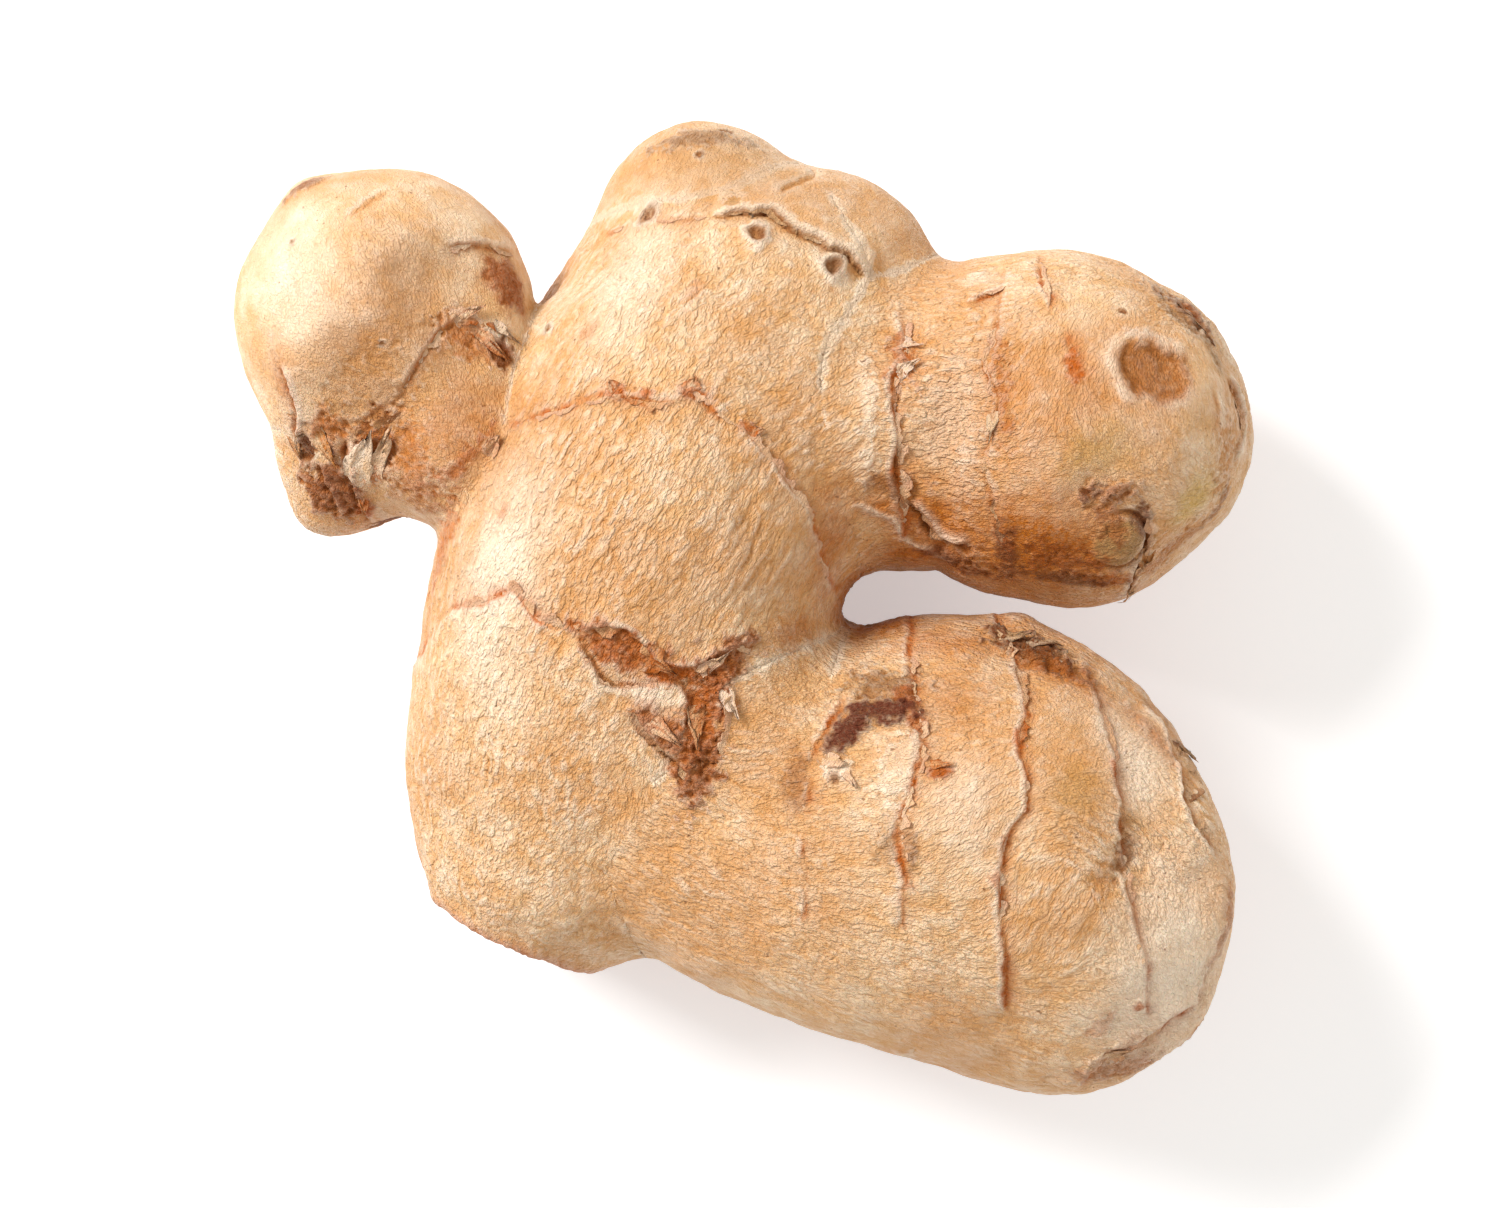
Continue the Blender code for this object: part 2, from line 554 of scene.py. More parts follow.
@dataclass
class Canvas:
    """The smooth skin while marks are put on it.

    Attributes:
        points: Where the skin is, in mm.
        normals: Which way it faces.
        blend: The fingers' joined field and their says there.
        height: How far each point will be pushed out, in mm.
        creping: How deeply the skin is wrinkled there.
        stains: How strongly each stain shows, from 0 to 1.
        lay: The direction of the wrinkles, as way_shares takes it.
        wander: The points in plan, drifting a little, so that no mark has a ruled edge.
    """

    points: Floats
    normals: Floats
    blend: Blend
    height: Floats = field(init=False)
    creping: Floats = field(init=False)
    stains: dict[Stain, Floats] = field(init=False)
    lay: Floats = field(init=False)
    wander: Floats = field(init=False)

    def __post_init__(self) -> None:
        """Starts with no relief and no stain, and with the wrinkles along the fingers."""
        count = len(self.points)
        self.height = np.zeros(count)
        self.stains = {stain: np.zeros(count) for stain in Stain}
        self.creping = sum(growth.value.creping * say for growth, say in self.blend.say.items())
        self.lay = sum(say[:, None] * growth.value.heading() for growth, say in self.blend.say.items())
        slow, quick = GradientNoise(5), GradientNoise(6)
        drift = [
            0.8 * slow.at(self.points / 3.1 + 9.0 * axis) + 0.32 * quick.at(self.points / 0.9 + 5.0 * axis)
            for axis in range(2)
        ]
        self.wander = self.points[:, :2] + np.stack(drift, axis=1)

    def facing(self, face: Face) -> Floats:
        """How much each point belongs to that side of the root, from 0 to 1."""
        if face is Face.ALL_ROUND:
            return np.ones(len(self.points))
        return smoothstep(-0.12, 0.22, self.normals[:, 2] * face.value)

    def add_stain(self, stain: Stain, amount: Floats, near: Floats | slice = slice(None)) -> None:
        """Deepens a stain where amount is more than what is there.

        Args:
            stain: The stain.
            amount: How strong it becomes, for each of the points that near picks.
            near: Which points, as a mask. All if it is left out.
        """
        there = self.stains[stain]
        there[near] = np.maximum(there[near], np.clip(amount, 0.0, 1.0))

    def anchor(self, place: Point2, face: Face) -> tuple[Floats, Floats]:
        """The skin's outermost point over or under a place in plan.

        Args:
            place: The place.
            face: The side of the root.

        Returns:
            The point and the skin's direction there.
        """
        gap = np.hypot(*(self.points[:, :2] - np.array(place)).T)
        score = np.where(gap < 0.8, self.points[:, 2] * (face.value or 1), -np.inf)
        found = int(np.argmax(score)) if np.isfinite(score).any() else int(np.argmin(gap))
        return self.points[found], self.normals[found]

    def tangent_places(
        self, place: Point2, turn: float, face: Face, reach: float
    ) -> tuple[Floats, Floats, Floats]:
        """Coordinates in the skin's tangent plane at a place.

        Args:
            place: The place in plan.
            turn: The first axis's direction in plan, in degrees from +X.
            face: The side of the root.
            reach: How far from the place the mark goes, in mm.

        Returns:
            The coordinate along the first axis and along the second, and a share that fades to 0 for
            points further away than reach.
        """
        centre, normal = self.anchor(place, face)
        heading = np.array([math.cos(math.radians(turn)), math.sin(math.radians(turn)), 0.0])
        first = heading - normal * (heading @ normal)
        first /= np.linalg.norm(first)
        second = np.cross(normal, first)
        away = self.points - centre
        return away @ first, away @ second, smoothstep(1.4, 1.0, np.linalg.norm(away, axis=1) / reach)


@dataclass(frozen=True)
class SkinLine:
    """A line round the skin, such as a node ring, a crack or a fold.

    Attributes:
        path: Corners of the line in plan, in mm. The line runs down the flanks as a curtain does.
        lip: Height of the pale ridge on the line's left, in mm.
        groove: Depth of the crack, in mm.
        step: How much higher the skin on the left is, in mm, fading over reach.
        width: Width of the ridge and the crack, in mm.
        reach: See step.
        rust, umber: How strongly the line is stained.
        broken: How much the line comes and goes, from 0 to 1.
        face: The side of the root.
        grows_on: The fingers that carry the line, or none for any finger.
    """

    path: tuple[Point2, ...]
    lip: float = 0.22
    groove: float = 0.2
    step: float = 0.18
    width: float = 0.5
    reach: float = 2.2
    rust: float = 0.6
    umber: float = 0.0
    broken: float = 0.6
    face: Face = Face.ALL_ROUND
    grows_on: tuple[Growth, ...] = ()

    def draw(self, canvas: Canvas) -> None:
        """Pushes the skin by lip * bell(u - 0.9 width) - groove * bell(u) + step * tanh(u / width)
        * exp(-|u| / reach), with u the distance to the line, positive on its left.

        Args:
            canvas: The skin, which is changed.
        """
        path = smooth_curve(np.array(self.path), 5)
        margin = 4.0 * self.reach
        near = np.all(canvas.points[:, :2] > path.min(axis=0) - margin, axis=1)
        near &= np.all(canvas.points[:, :2] < path.max(axis=0) + margin, axis=1)
        distance, side, run = distance_to_path(canvas.wander[near], path)
        u = distance * side
        length = float(np.hypot(*np.diff(path, axis=0).T).sum())
        ends = smoothstep(0.0, 1.8, run) * smoothstep(length, length - 1.8, run)
        noise = GradientNoise(int(abs(path[0, 0] * 31 + path[0, 1] * 17)) % 997)
        along = np.stack([run / 3.3, run * 0.0 + 0.5, run * 0.0], axis=1)
        patchy = np.clip(1.0 - self.broken * (0.45 - 1.9 * noise.octaves(along, 2)), 0.1, 1.35)
        share = ends * canvas.facing(self.face)[near]
        if self.grows_on:
            share = share * sum(canvas.blend.say[growth] for growth in self.grows_on)[near]
        width = self.width
        relief = self.lip * patchy * bell(u - 0.9 * width, 0.7 * width)
        relief -= self.groove * patchy * bell(u, 0.6 * width)
        relief += self.step * np.tanh(u / width) * np.exp(-distance / self.reach) * (0.5 + 0.5 * patchy)
        canvas.height[near] += relief * share
        grainy = np.clip(1.0 + 2.0 * noise.octaves(canvas.points[near] / 0.9, 2), 0.2, 1.5)
        seep = (bell(u, 0.8 * width) + 0.3 * bell(u + width, 2.6 * width)) * grainy
        canvas.add_stain(Stain.RUST, self.rust * seep * patchy * share, near)
        canvas.add_stain(Stain.UMBER, self.umber * bell(u, 0.75 * width) * patchy * share, near)
        crest = bell(u - 1.3 * width, 0.8 * width)
        canvas.add_stain(Stain.PALE, 1.6 * self.lip * patchy * share * crest, near)


@dataclass(frozen=True)
class Patch:
    """A ragged stained or rough place on the skin; some are soft washes of painted shade and some of
    painted highlight. Pale, yellow and grey tints and painted shade fade out softly.

    Attributes:
        place: Its middle in plan, in mm.
        radii: Half its length and half its breadth, in mm.
        turn: Its length's direction in plan, in degrees from +X.
        stains: How strongly it is stained with what.
        relief: How far it stands out, in mm.
        edge: Height of its torn rim, in mm.
        rough: Height of the coarse grain inside it, in mm.
        ragged: How torn its outline is, from 0 to 1.
        face: The side of the root.
    """

    place: Point2
    radii: tuple[float, float]
    turn: float
    stains: Stains
    relief: float = 0.0
    edge: float = 0.0
    rough: float = 0.0
    ragged: float = 0.35
    face: Face = Face.TOP

    def draw(self, canvas: Canvas) -> None:
        """Works on q = sqrt((a / length)^2 + (b / breadth)^2) + ragged * noise, which is 1 at the rim:
        relief inside it, edge * bell(q - 1) on it, and folds of 0.5 - 2 |noise| inside.

        Args:
            canvas: The skin, which is changed.
        """
        reach = 1.25 * max(self.radii) + 0.5
        first, second, share = canvas.tangent_places(self.place, self.turn, self.face, reach)
        torn, coarse = GradientNoise(11), GradientNoise(12)
        q = np.hypot(first / self.radii[0], second / self.radii[1])
        near = q < 2.0
        here = canvas.points[near]
        ragged = 1.5 * self.ragged * torn.octaves(here / (0.4 * min(self.radii) + 0.6), 4, 0.65)
        soft, q = q[near] + 0.6 * ragged, q[near] + ragged
        amount = smoothstep(1.12, 0.8, q) * share[near]
        canvas.height[near] += self.relief * amount + self.edge * bell(q - 1.0, 0.14) * share[near]
        folds = 0.5 - np.abs(coarse.octaves(here / 1.5, 3, 0.6)) * 2.0
        canvas.height[near] += 0.6 * self.rough * amount * folds
        for stain, strength in self.stains:
            fade = smoothstep(1.6, 0.1, soft) if stain in TINTS else smoothstep(1.35, 0.6, q)
            canvas.add_stain(stain, strength * fade * share[near], near)


@dataclass(frozen=True)
class Comb:
    """A place where the wrinkles run in a given direction, and how deep they are there.

    Attributes:
        place: Its middle in plan, in mm.
        radius: How far it reaches, in mm.
        way: The direction in plan, in degrees from +X.
        depth: What the wrinkles' depth is multiplied by.
        face: The side of the root.
    """

    place: Point2
    radius: float
    way: float
    depth: float = 1.0
    face: Face = Face.TOP

    def draw(self, canvas: Canvas) -> None:
        """Adds 3 * bell(distance, radius) * (cos 2a, sin 2a) to the lay.

        Args:
            canvas: The skin, which is changed.
        """
        centre, _ = canvas.anchor(self.place, self.face)
        share = bell(np.linalg.norm(canvas.points - centre, axis=1), self.radius)
        double = math.radians(2 * self.way)
        canvas.lay += 3.0 * share[:, None] * np.array([math.cos(double), math.sin(double)])
        canvas.creping *= 1.0 + (self.depth - 1.0) * share


@dataclass(frozen=True)
class Swelling:
    """A broad soft bump (height above 0) or dent (below 0) of a given radius, in mm."""

    place: Point2
    radius: float
    height: float
    face: Face = Face.TOP

    def draw(self, canvas: Canvas) -> None:
        """Adds height * exp(-(distance / radius)^2)."""
        centre, _ = canvas.anchor(self.place, self.face)
        canvas.height += self.height * bell(np.linalg.norm(canvas.points - centre, axis=1), self.radius)


@dataclass(frozen=True)
class RootScar:
    """A small round scar where a thin root broke off: a pit in a low ring on a mound."""

    place: Point2
    radius: float = 1.0
    mound: float = 0.25
    face: Face = Face.TOP

    def draw(self, canvas: Canvas) -> None:
        """Adds mound * bell(d, 2.4 r) + 0.3 r * bell(d - r, 0.35 r) - 0.5 r * bell(d, 0.6 r).

        Args:
            canvas: The skin, which is changed.
        """
        centre, _ = canvas.anchor(self.place, self.face)
        uneven = GradientNoise(int(abs(self.place[0] * 17)) % 977)
        distance = np.linalg.norm(canvas.points - centre, axis=1)
        distance = distance * (1.0 + 0.7 * uneven.at(canvas.points / (1.1 * self.radius)))
        radius = self.radius
        canvas.height += self.mound * bell(distance, 2.4 * radius)
        canvas.height += 0.3 * radius * bell(distance - radius, 0.35 * radius)
        canvas.height -= 0.5 * radius * bell(distance, 0.6 * radius)
        canvas.add_stain(Stain.UMBER, 0.8 * bell(distance - 0.55 * radius, 0.45 * radius))
        canvas.add_stain(Stain.PALE, 0.5 * bell(distance - 1.2 * radius, 0.4 * radius))


@dataclass(frozen=True)
class EyeScar:
    """A shallow oval dish with a partly raised rim, left by an old stalk."""

    place: Point2
    radii: tuple[float, float]
    turn: float
    depth: float
    rim: float
    face: Face = Face.TOP

    def draw(self, canvas: Canvas) -> None:
        """Works on the oval's q, 1 at its rim: -depth * ramp(1.02 to 0.74) + rim * bell(q - 1.22, 0.24).

        Args:
            canvas: The skin, which is changed.
        """
        reach = 2.5 * max(self.radii)
        first, second, share = canvas.tangent_places(self.place, self.turn, self.face, reach)
        wobble, grain = GradientNoise(21), GradientNoise(22)
        q = np.hypot(first / self.radii[0], second / self.radii[1])
        near = q < 3.0
        here = canvas.points[near]
        q = q[near] + 0.34 * wobble.octaves(here / 2.4, 3, 0.6)
        share = share[near]
        floor = smoothstep(1.02, 0.74, q) * share
        swollen = np.clip(0.5 + 1.8 * wobble.at(here / 3.6 + 5.0), 0.0, 1.3)
        canvas.height[near] += -self.depth * floor + self.rim * swollen * bell(q - 1.22, 0.24) * share
        canvas.height[near] += 0.22 * floor * grain.octaves(here / 1.0, 2, 0.7)
        dirt = 0.5 * floor * (0.75 + 0.8 * grain.at(here / 0.8))
        canvas.add_stain(Stain.UMBER, dirt + 0.35 * bell(q - 0.98, 0.1) * share, near)
        # painted shade over the dish and just round it
        canvas.add_stain(Stain.PAINTED_SHADE, 0.7 * smoothstep(1.5, 0.8, q) * share, near)
        canvas.add_stain(Stain.PALE, 0.5 * swollen * bell(q - 1.3, 0.2) * share, near)


@dataclass(frozen=True)
class BudScale:
    """A round leathery scale lying over a sleeping bud, lifted along one side."""

    place: Point2
    radius: float
    lifted: float
    height: float
    face: Face = Face.TOP

    def draw(self, canvas: Canvas) -> None:
        """A low dome height * sqrt(1 - q^2), with a gap height * bell(q - 1.14, 0.1) cut on the lifted
        side, which faces the direction lifted, in degrees.

        Args:
            canvas: The skin, which is changed.
        """
        reach = 2.0 * self.radius
        first, second, share = canvas.tangent_places(self.place, self.lifted, self.face, reach)
        q = np.hypot(first, second) / self.radius
        q = q + 0.12 * GradientNoise(31).at(canvas.points / 1.7)
        open_side = smoothstep(-0.5, 0.6, first / self.radius)
        dome = np.sqrt(np.clip(1.0 - q**2, 0.0, 1.0))
        canvas.height += self.height * dome * (0.4 + 0.6 * open_side) * share
        gap = bell(q - 1.14, 0.1) * share
        canvas.height -= self.height * 0.9 * gap * open_side
        canvas.add_stain(Stain.UMBER, gap * (0.4 + 0.6 * open_side))
        canvas.add_stain(Stain.GREY, 0.9 * smoothstep(1.05, 0.8, q) * share)


@dataclass(frozen=True)
class SnapScar:
    """The healed, corky face where the root was snapped from its parent.

    Attributes:
        place: A point on the scar, in mm.
        outward: The scar's outward direction.
    """

    place: Point3
    outward: Point3

    REACH = 16.0  # mm from the middle of the scar

    def draw(self, canvas: Canvas) -> None:
        """Pulls what stands out past the plane back to it, less a fifth, and leaves a low ring round it.

        Args:
            canvas: The skin, which is changed.
        """
        way = np.array(self.outward) / np.linalg.norm(self.outward)
        away = canvas.points - np.array(self.place)
        past = away @ way
        radial = np.linalg.norm(away - past[:, None] * way, axis=1)
        cork, torn = GradientNoise(41), GradientNoise(42)
        past = past + 0.5 * torn.at(canvas.points / 3.0)
        facing = np.clip(canvas.normals @ way, 0.3, 1.0)
        within = radial < self.REACH
        inside = smoothstep(-0.2, 0.5, past) * within
        canvas.height -= 0.8 * np.clip(past, 0.0, 6.0) / facing * inside
        canvas.height += inside * (0.35 * cork.octaves(canvas.points / 1.3, 3, 0.6))
        canvas.height += 0.4 * bell(past + 0.2, 0.6) * within
        canvas.add_stain(Stain.UMBER, 0.5 * inside * (0.8 + 0.7 * torn.at(canvas.points / 1.1)))
        canvas.add_stain(Stain.GREY, 0.5 * inside)
        canvas.add_stain(Stain.RUST, 0.7 * bell(past, 0.6) * within)


# --- Where the marks are ---

TRUNK_SIDE = (Growth.TRUNK, Growth.CROWN, Growth.CROWN_MIDDLE, Growth.SADDLE, Growth.RIGHT_FINGER)
RIGHT_SIDE = (Growth.RIGHT_FINGER,)
LOWER_SIDE = (Growth.LOWER_FINGER, Growth.LOWER_SHOULDER, Growth.LOWER_HEEL, Growth.SADDLE)
KNOB_SIDE = (Growth.ROUND_KNOB, Growth.KNOB_NOSE)

NODE_RINGS = (
    # the trunk's upper ring: a pale thread on the right, torn and wavy in the middle, faint on the left
    SkinLine(
        ((10.0, 0.7), (8.2, 3.2), (7.6, 5.8), (6.7, 8.8), (5.0, 11.5), (2.6, 14.3), (0.5, 16.7),
         (-1.3, 18.1)),
        lip=0.12, groove=0.08, step=0.12, width=0.36, rust=0.57, broken=0.45, grows_on=TRUNK_SIDE,
    ),
    SkinLine(
        ((-1.3, 18.1), (-3.2, 19.6), (-4.7, 20.9), (-7.4, 20.1), (-10.6, 19.9), (-12.7, 20.9)),
        lip=0.08, groove=0.23, step=-0.3, width=0.4, rust=0.78, umber=0.1, broken=0.45,
        face=Face.TOP, grows_on=TRUNK_SIDE,
    ),
    SkinLine(
        ((-12.7, 20.9), (-15.7, 20.2), (-18.5, 19.4), (-24.8, 17.5), (-27.8, 14.0), (-29.6, 10.6)),
        lip=0.05, groove=0.08, step=-0.1, width=0.4, rust=0.64, broken=0.7, grows_on=TRUNK_SIDE,
    ),
    # the trunk's lower ring, which ends in the torn brown scale
    SkinLine(
        ((-17.3, -2.6), (-20.3, -1.6), (-21.5, -0.4), (-23.0, 1.3), (-26.2, 0.2), (-28.9, -0.4),
         (-32.0, -2.9), (-35.0, -7.4)),
        lip=0.10, groove=0.16, step=0.16, width=0.4, rust=0.71, broken=0.55, grows_on=TRUNK_SIDE,
    ),
    # the crown's node, where the wrinkled skin ends
    SkinLine(
        ((-15.4, 38.6), (-14.0, 38.4), (-10.4, 38.9), (-7.1, 39.1), (-3.3, 39.4)),
        lip=0.04, groove=0.09, step=0.14, width=0.4, rust=0.51, umber=0.1, broken=0.7,
        grows_on=TRUNK_SIDE,
    ),
    # the right finger's neck ring, cracked and ridged, and the rings beyond it
    SkinLine(
        ((16.6, 6.1), (16.1, 9.8), (15.5, 13.5), (15.6, 17.3), (15.1, 20.5), (15.6, 23.7), (16.8, 24.3),
         (16.3, 26.0), (16.5, 28.1), (15.4, 30.6)),
        lip=0.20, groove=0.26, step=0.25, width=0.42, rust=0.91, umber=0.1, broken=0.5,
        grows_on=RIGHT_SIDE,
    ),
    SkinLine(
        ((27.1, 1.6), (26.3, 5.8), (25.1, 10.4), (24.2, 14.5), (25.3, 17.3), (25.1, 20.5), (24.4, 24.2),
         (25.3, 27.0), (25.9, 30.7), (26.5, 35.2)),
        lip=0.08, groove=0.14, step=-0.2, width=0.36, rust=0.44, umber=0.25, broken=0.8,
        grows_on=RIGHT_SIDE,
    ),
    SkinLine(
        ((30.9, 29.3), (30.8, 31.6), (30.6, 33.1), (30.2, 36.7)),
        lip=0.06, groove=0.14, step=0.1, width=0.3, rust=0.91, broken=0.5, grows_on=RIGHT_SIDE,
    ),
    SkinLine(
        ((34.1, 21.8), (33.4, 23.8), (33.2, 25.5), (32.3, 28.0)),
        lip=0.04, groove=0.09, step=0.0, width=0.5, rust=1.00, broken=0.7, face=Face.TOP,
        grows_on=RIGHT_SIDE,
    ),
    # the lower finger's rings, from the trunk to the heel
    SkinLine(
        ((6.4, -32.9), (5.9, -24.7), (6.2, -20.2), (7.0, -16.1), (8.2, -13.4), (10.9, -8.9)),
        lip=0.06, groove=0.13, step=0.1, width=0.4, rust=0.57, umber=0.2, broken=0.8, grows_on=LOWER_SIDE,
    ),
    SkinLine(
        ((16.0, -32.9), (15.5, -24.9), (15.5, -22.0), (17.0, -17.5), (18.1, -15.0), (17.8, -11.6),
         (17.2, -8.0), (17.0, -3.5), (17.2, 0.0)),
        lip=0.08, groove=0.18, step=0.16, width=0.36, rust=0.78, umber=0.15, broken=0.6,
        grows_on=LOWER_SIDE,
    ),
    SkinLine(
        ((26.5, -41.9), (25.9, -33.7), (25.7, -27.7), (25.9, -23.6), (28.1, -20.2), (27.8, -16.2),
         (27.7, -13.3), (28.3, -10.4), (27.7, -5.8), (26.8, -3.2), (26.4, 0.0)),
        lip=0.12, groove=0.20, step=0.3, width=0.38, rust=0.84, umber=0.15, broken=0.6,
        grows_on=LOWER_SIDE,
    ),
    SkinLine(
        ((41.2, -42.6), (40.7, -37.0), (39.2, -31.2), (38.1, -25.4), (37.8, -22.5), (37.7, -16.2),
         (37.2, -13.9), (36.0, -9.8), (34.9, -5.0)),
        lip=0.08, groove=0.17, step=0.26, width=0.4, rust=0.57, umber=0.3, broken=0.75,
        grows_on=LOWER_SIDE,
    ),
    SkinLine(
        ((35.0, -50.5), (35.2, -48.0), (37.4, -46.0), (40.7, -44.5), (43.4, -42.6), (46.5, -40.6)),
        lip=0.10, groove=0.26, step=0.25, width=0.45, rust=0.57, umber=0.3, broken=0.4,
        grows_on=LOWER_SIDE,
    ),
)

CRACKS_AND_FOLDS = (
    # the crown's dark crack, with the smooth skin above lying over it
    SkinLine(
        ((-3.3, 39.3), (-0.2, 39.7), (2.3, 39.9), (3.7, 38.8), (5.9, 37.5), (8.1, 36.4), (9.9, 36.1),
         (11.0, 35.0), (12.9, 33.0)),
        lip=0.2, groove=0.55, step=0.55, width=0.3, reach=3.0, rust=0.0, umber=0.9, broken=0.3,
        face=Face.TOP,
    ),
    SkinLine(
        ((3.0, 41.3), (3.7, 41.9), (5.3, 43.2), (7.0, 44.4), (7.6, 46.0)),
        lip=0.0, groove=0.35, step=0.15, width=0.5, rust=0.0, broken=0.2,
    ),
    # where the round knob's skin ends above its neck
    SkinLine(
        ((-41.4, 18.0), (-39.5, 18.5), (-37.1, 19.5), (-35.3, 20.6), (-33.4, 22.9), (-32.0, 25.4),
         (-30.2, 28.0), (-28.8, 29.8)),
        lip=0.05, groove=0.2, step=0.14, width=0.4, reach=3.0, rust=0.35, umber=0.2, broken=0.9,
        face=Face.TOP, grows_on=KNOB_SIDE,
    ),
    SkinLine(
        ((-30.6, 36.0), (-28.5, 36.1), (-26.9, 36.4), (-25.2, 36.2), (-23.4, 35.4)),
        lip=0.1, groove=0.25, step=0.35, width=0.36, rust=0.6, umber=0.3, broken=0.3, grows_on=KNOB_SIDE,
    ),
    SkinLine(
        ((-29.2, 29.6), (-27.6, 28.4), (-26.6, 27.2), (-24.8, 26.0), (-23.6, 24.6)),
        lip=0.3, groove=0.35, step=0.3, width=0.5, rust=0.8, umber=0.25, broken=0.6, face=Face.TOP,
    ),
    SkinLine(
        ((-39.9, 38.2), (-38.6, 39.6), (-37.2, 40.7), (-35.4, 41.5)),
        lip=0.1, groove=0.22, step=0.12, width=0.4, rust=0.1, broken=0.2, face=Face.TOP,
    ),
    SkinLine(
        ((-47.2, 24.4), (-46.3, 21.7), (-45.6, 18.6), (-46.0, 15.0)),
        lip=0.35, groove=0.5, step=0.2, width=0.5, rust=0.5, umber=0.4, broken=0.3, face=Face.TOP,
    ),
    SkinLine(
        ((-45.6, 18.4), (-44.7, 18.4), (-43.4, 18.0)),
        lip=0.1, groove=0.35, step=0.1, width=0.36, umber=0.7, broken=0.1, face=Face.TOP,
    ),
    SkinLine(
        ((-40.4, 17.2), (-40.6, 14.0), (-39.8, 10.6), (-38.6, 8.2)),
        lip=0.4, groove=0.6, step=0.2, width=0.5, rust=0.5, umber=0.6, broken=0.3, face=Face.TOP,
    ),
    SkinLine(
        ((-43.4, 14.6), (-42.6, 11.8), (-41.6, 8.8)),
        lip=0.35, groove=0.5, step=0.1, width=0.5, rust=0.3, umber=0.5, broken=0.4, face=Face.TOP,
    ),
    SkinLine(
        ((-40.0, 7.2), (-37.0, 7.6), (-34.8, 6.3), (-33.4, 4.6)),
        lip=0.0, groove=0.7, step=0.2, width=0.7, umber=0.9, broken=0.2,
    ),
    SkinLine(
        ((-26.2, 14.6), (-25.7, 16.1), (-24.9, 17.3)),
        lip=0.2, groove=0.5, step=0.3, width=0.36, rust=0.5, umber=0.5, broken=0.1, face=Face.TOP,
    ),
    # the right finger: a short crack by its second ring, and the dark fold under its neck
    SkinLine(
        ((22.4, 30.8), (24.0, 31.4), (25.6, 31.7), (26.9, 32.5)),
        lip=0.2, groove=0.3, step=0.2, width=0.28, rust=0.6, umber=0.2, broken=0.2, face=Face.TOP,
    ),
    SkinLine(
        ((16.2, 10.8), (16.8, 10.0), (19.1, 7.7), (20.3, 6.7), (23.4, 5.7)),
        lip=0.35, groove=1.1, step=0.5, width=0.6, rust=0.3, umber=1.0, broken=0.2, face=Face.TOP,
    ),
    SkinLine(
        ((22.4, 4.9), (21.4, 5.3), (17.3, 6.9), (15.0, 9.2), (10.8, 10.5)),
        lip=0.45, groove=0.1, step=0.0, width=0.36, rust=0.1, broken=0.3, face=Face.TOP,
    ),
    SkinLine(
        ((39.8, 0.6), (40.2, 3.0), (41.2, 5.2), (40.4, 9.0)),
        lip=0.3, groove=0.9, step=0.2, width=0.45, rust=0.2, umber=1.0, broken=0.2, face=Face.TOP,
    ),
    SkinLine(
        ((43.6, 31.0), (45.2, 30.2), (46.6, 28.8), (47.8, 27.4)),
        lip=0.2, groove=0.4, step=0.1, width=0.4, umber=0.5, broken=0.4, face=Face.TOP,
    ),
    SkinLine(
        ((49.6, 23.6), (50.6, 20.6), (51.2, 17.6), (50.4, 14.0)),
        lip=0.35, groove=0.3, step=0.1, width=0.45, umber=0.25, rust=0.2, broken=0.5,
    ),
    SkinLine(
        ((47.0, 23.0), (47.8, 20.0), (47.4, 17.0)),
        lip=0.25, groove=0.2, step=0.1, width=0.5, rust=0.2, broken=0.5,
    ),
    SkinLine(
        ((15.3, 11.6), (15.6, 14.8), (15.2, 18.0), (15.6, 21.0), (15.9, 23.4)),
        lip=0.1, groove=0.5, step=0.0, width=0.24, rust=0.4, umber=0.6, broken=0.8, face=Face.TOP,
    ),
    SkinLine(
        ((25.0, 9.0), (24.3, 12.6), (24.9, 16.0), (25.4, 19.2), (24.6, 23.6)),
        lip=0.05, groove=0.4, step=0.0, width=0.22, rust=0.3, umber=0.6, broken=1.0, face=Face.TOP,
    ),
    # the dark torn scale edge along the lower finger's outer side
    SkinLine(
        ((48.6, -26.4), (47.6, -24.9), (45.6, -22.0), (44.4, -16.8), (43.6, -14.5), (42.4, -12.1),
         (40.8, -10.2)),
        lip=0.3, groove=0.3, step=0.4, width=0.4, rust=0.3, umber=0.5, broken=0.5,
    ),
    SkinLine(
        ((46.2, -42.0), (47.2, -38.0), (48.8, -34.6)),
        lip=0.15, groove=0.2, step=0.1, width=0.4, rust=0.15, umber=0.2, broken=0.6,
    ),
    # the edges of the torn scale between the trunk and the lower finger
    SkinLine(
        ((-17.2, -2.2), (-15.6, -2.7), (-12.8, -2.5), (-10.4, -3.6), (-8.8, -6.0), (-4.3, -6.6),
         (-2.3, -5.2), (1.9, -3.6)),
        lip=0.2, groove=0.3, step=0.35, width=0.4, rust=0.6, umber=0.1, broken=0.4, face=Face.TOP,
    ),
    SkinLine(
        ((-5.9, -14.0), (-5.9, -8.2), (-10.0, -7.9), (-13.6, -7.8), (-15.4, -5.6), (-17.0, -3.0)),
        lip=0.1, groove=0.4, step=0.35, width=0.36, rust=0.4, umber=0.7, broken=0.4, face=Face.TOP,
    ),
    SkinLine(
        ((-5.4, -18.0), (-7.5, -15.3), (-10.0, -12.9), (-11.6, -10.4)),
        lip=0.0, groove=0.6, step=-0.3, width=0.45, rust=0.3, umber=0.9, broken=0.2, face=Face.TOP,
    ),
)

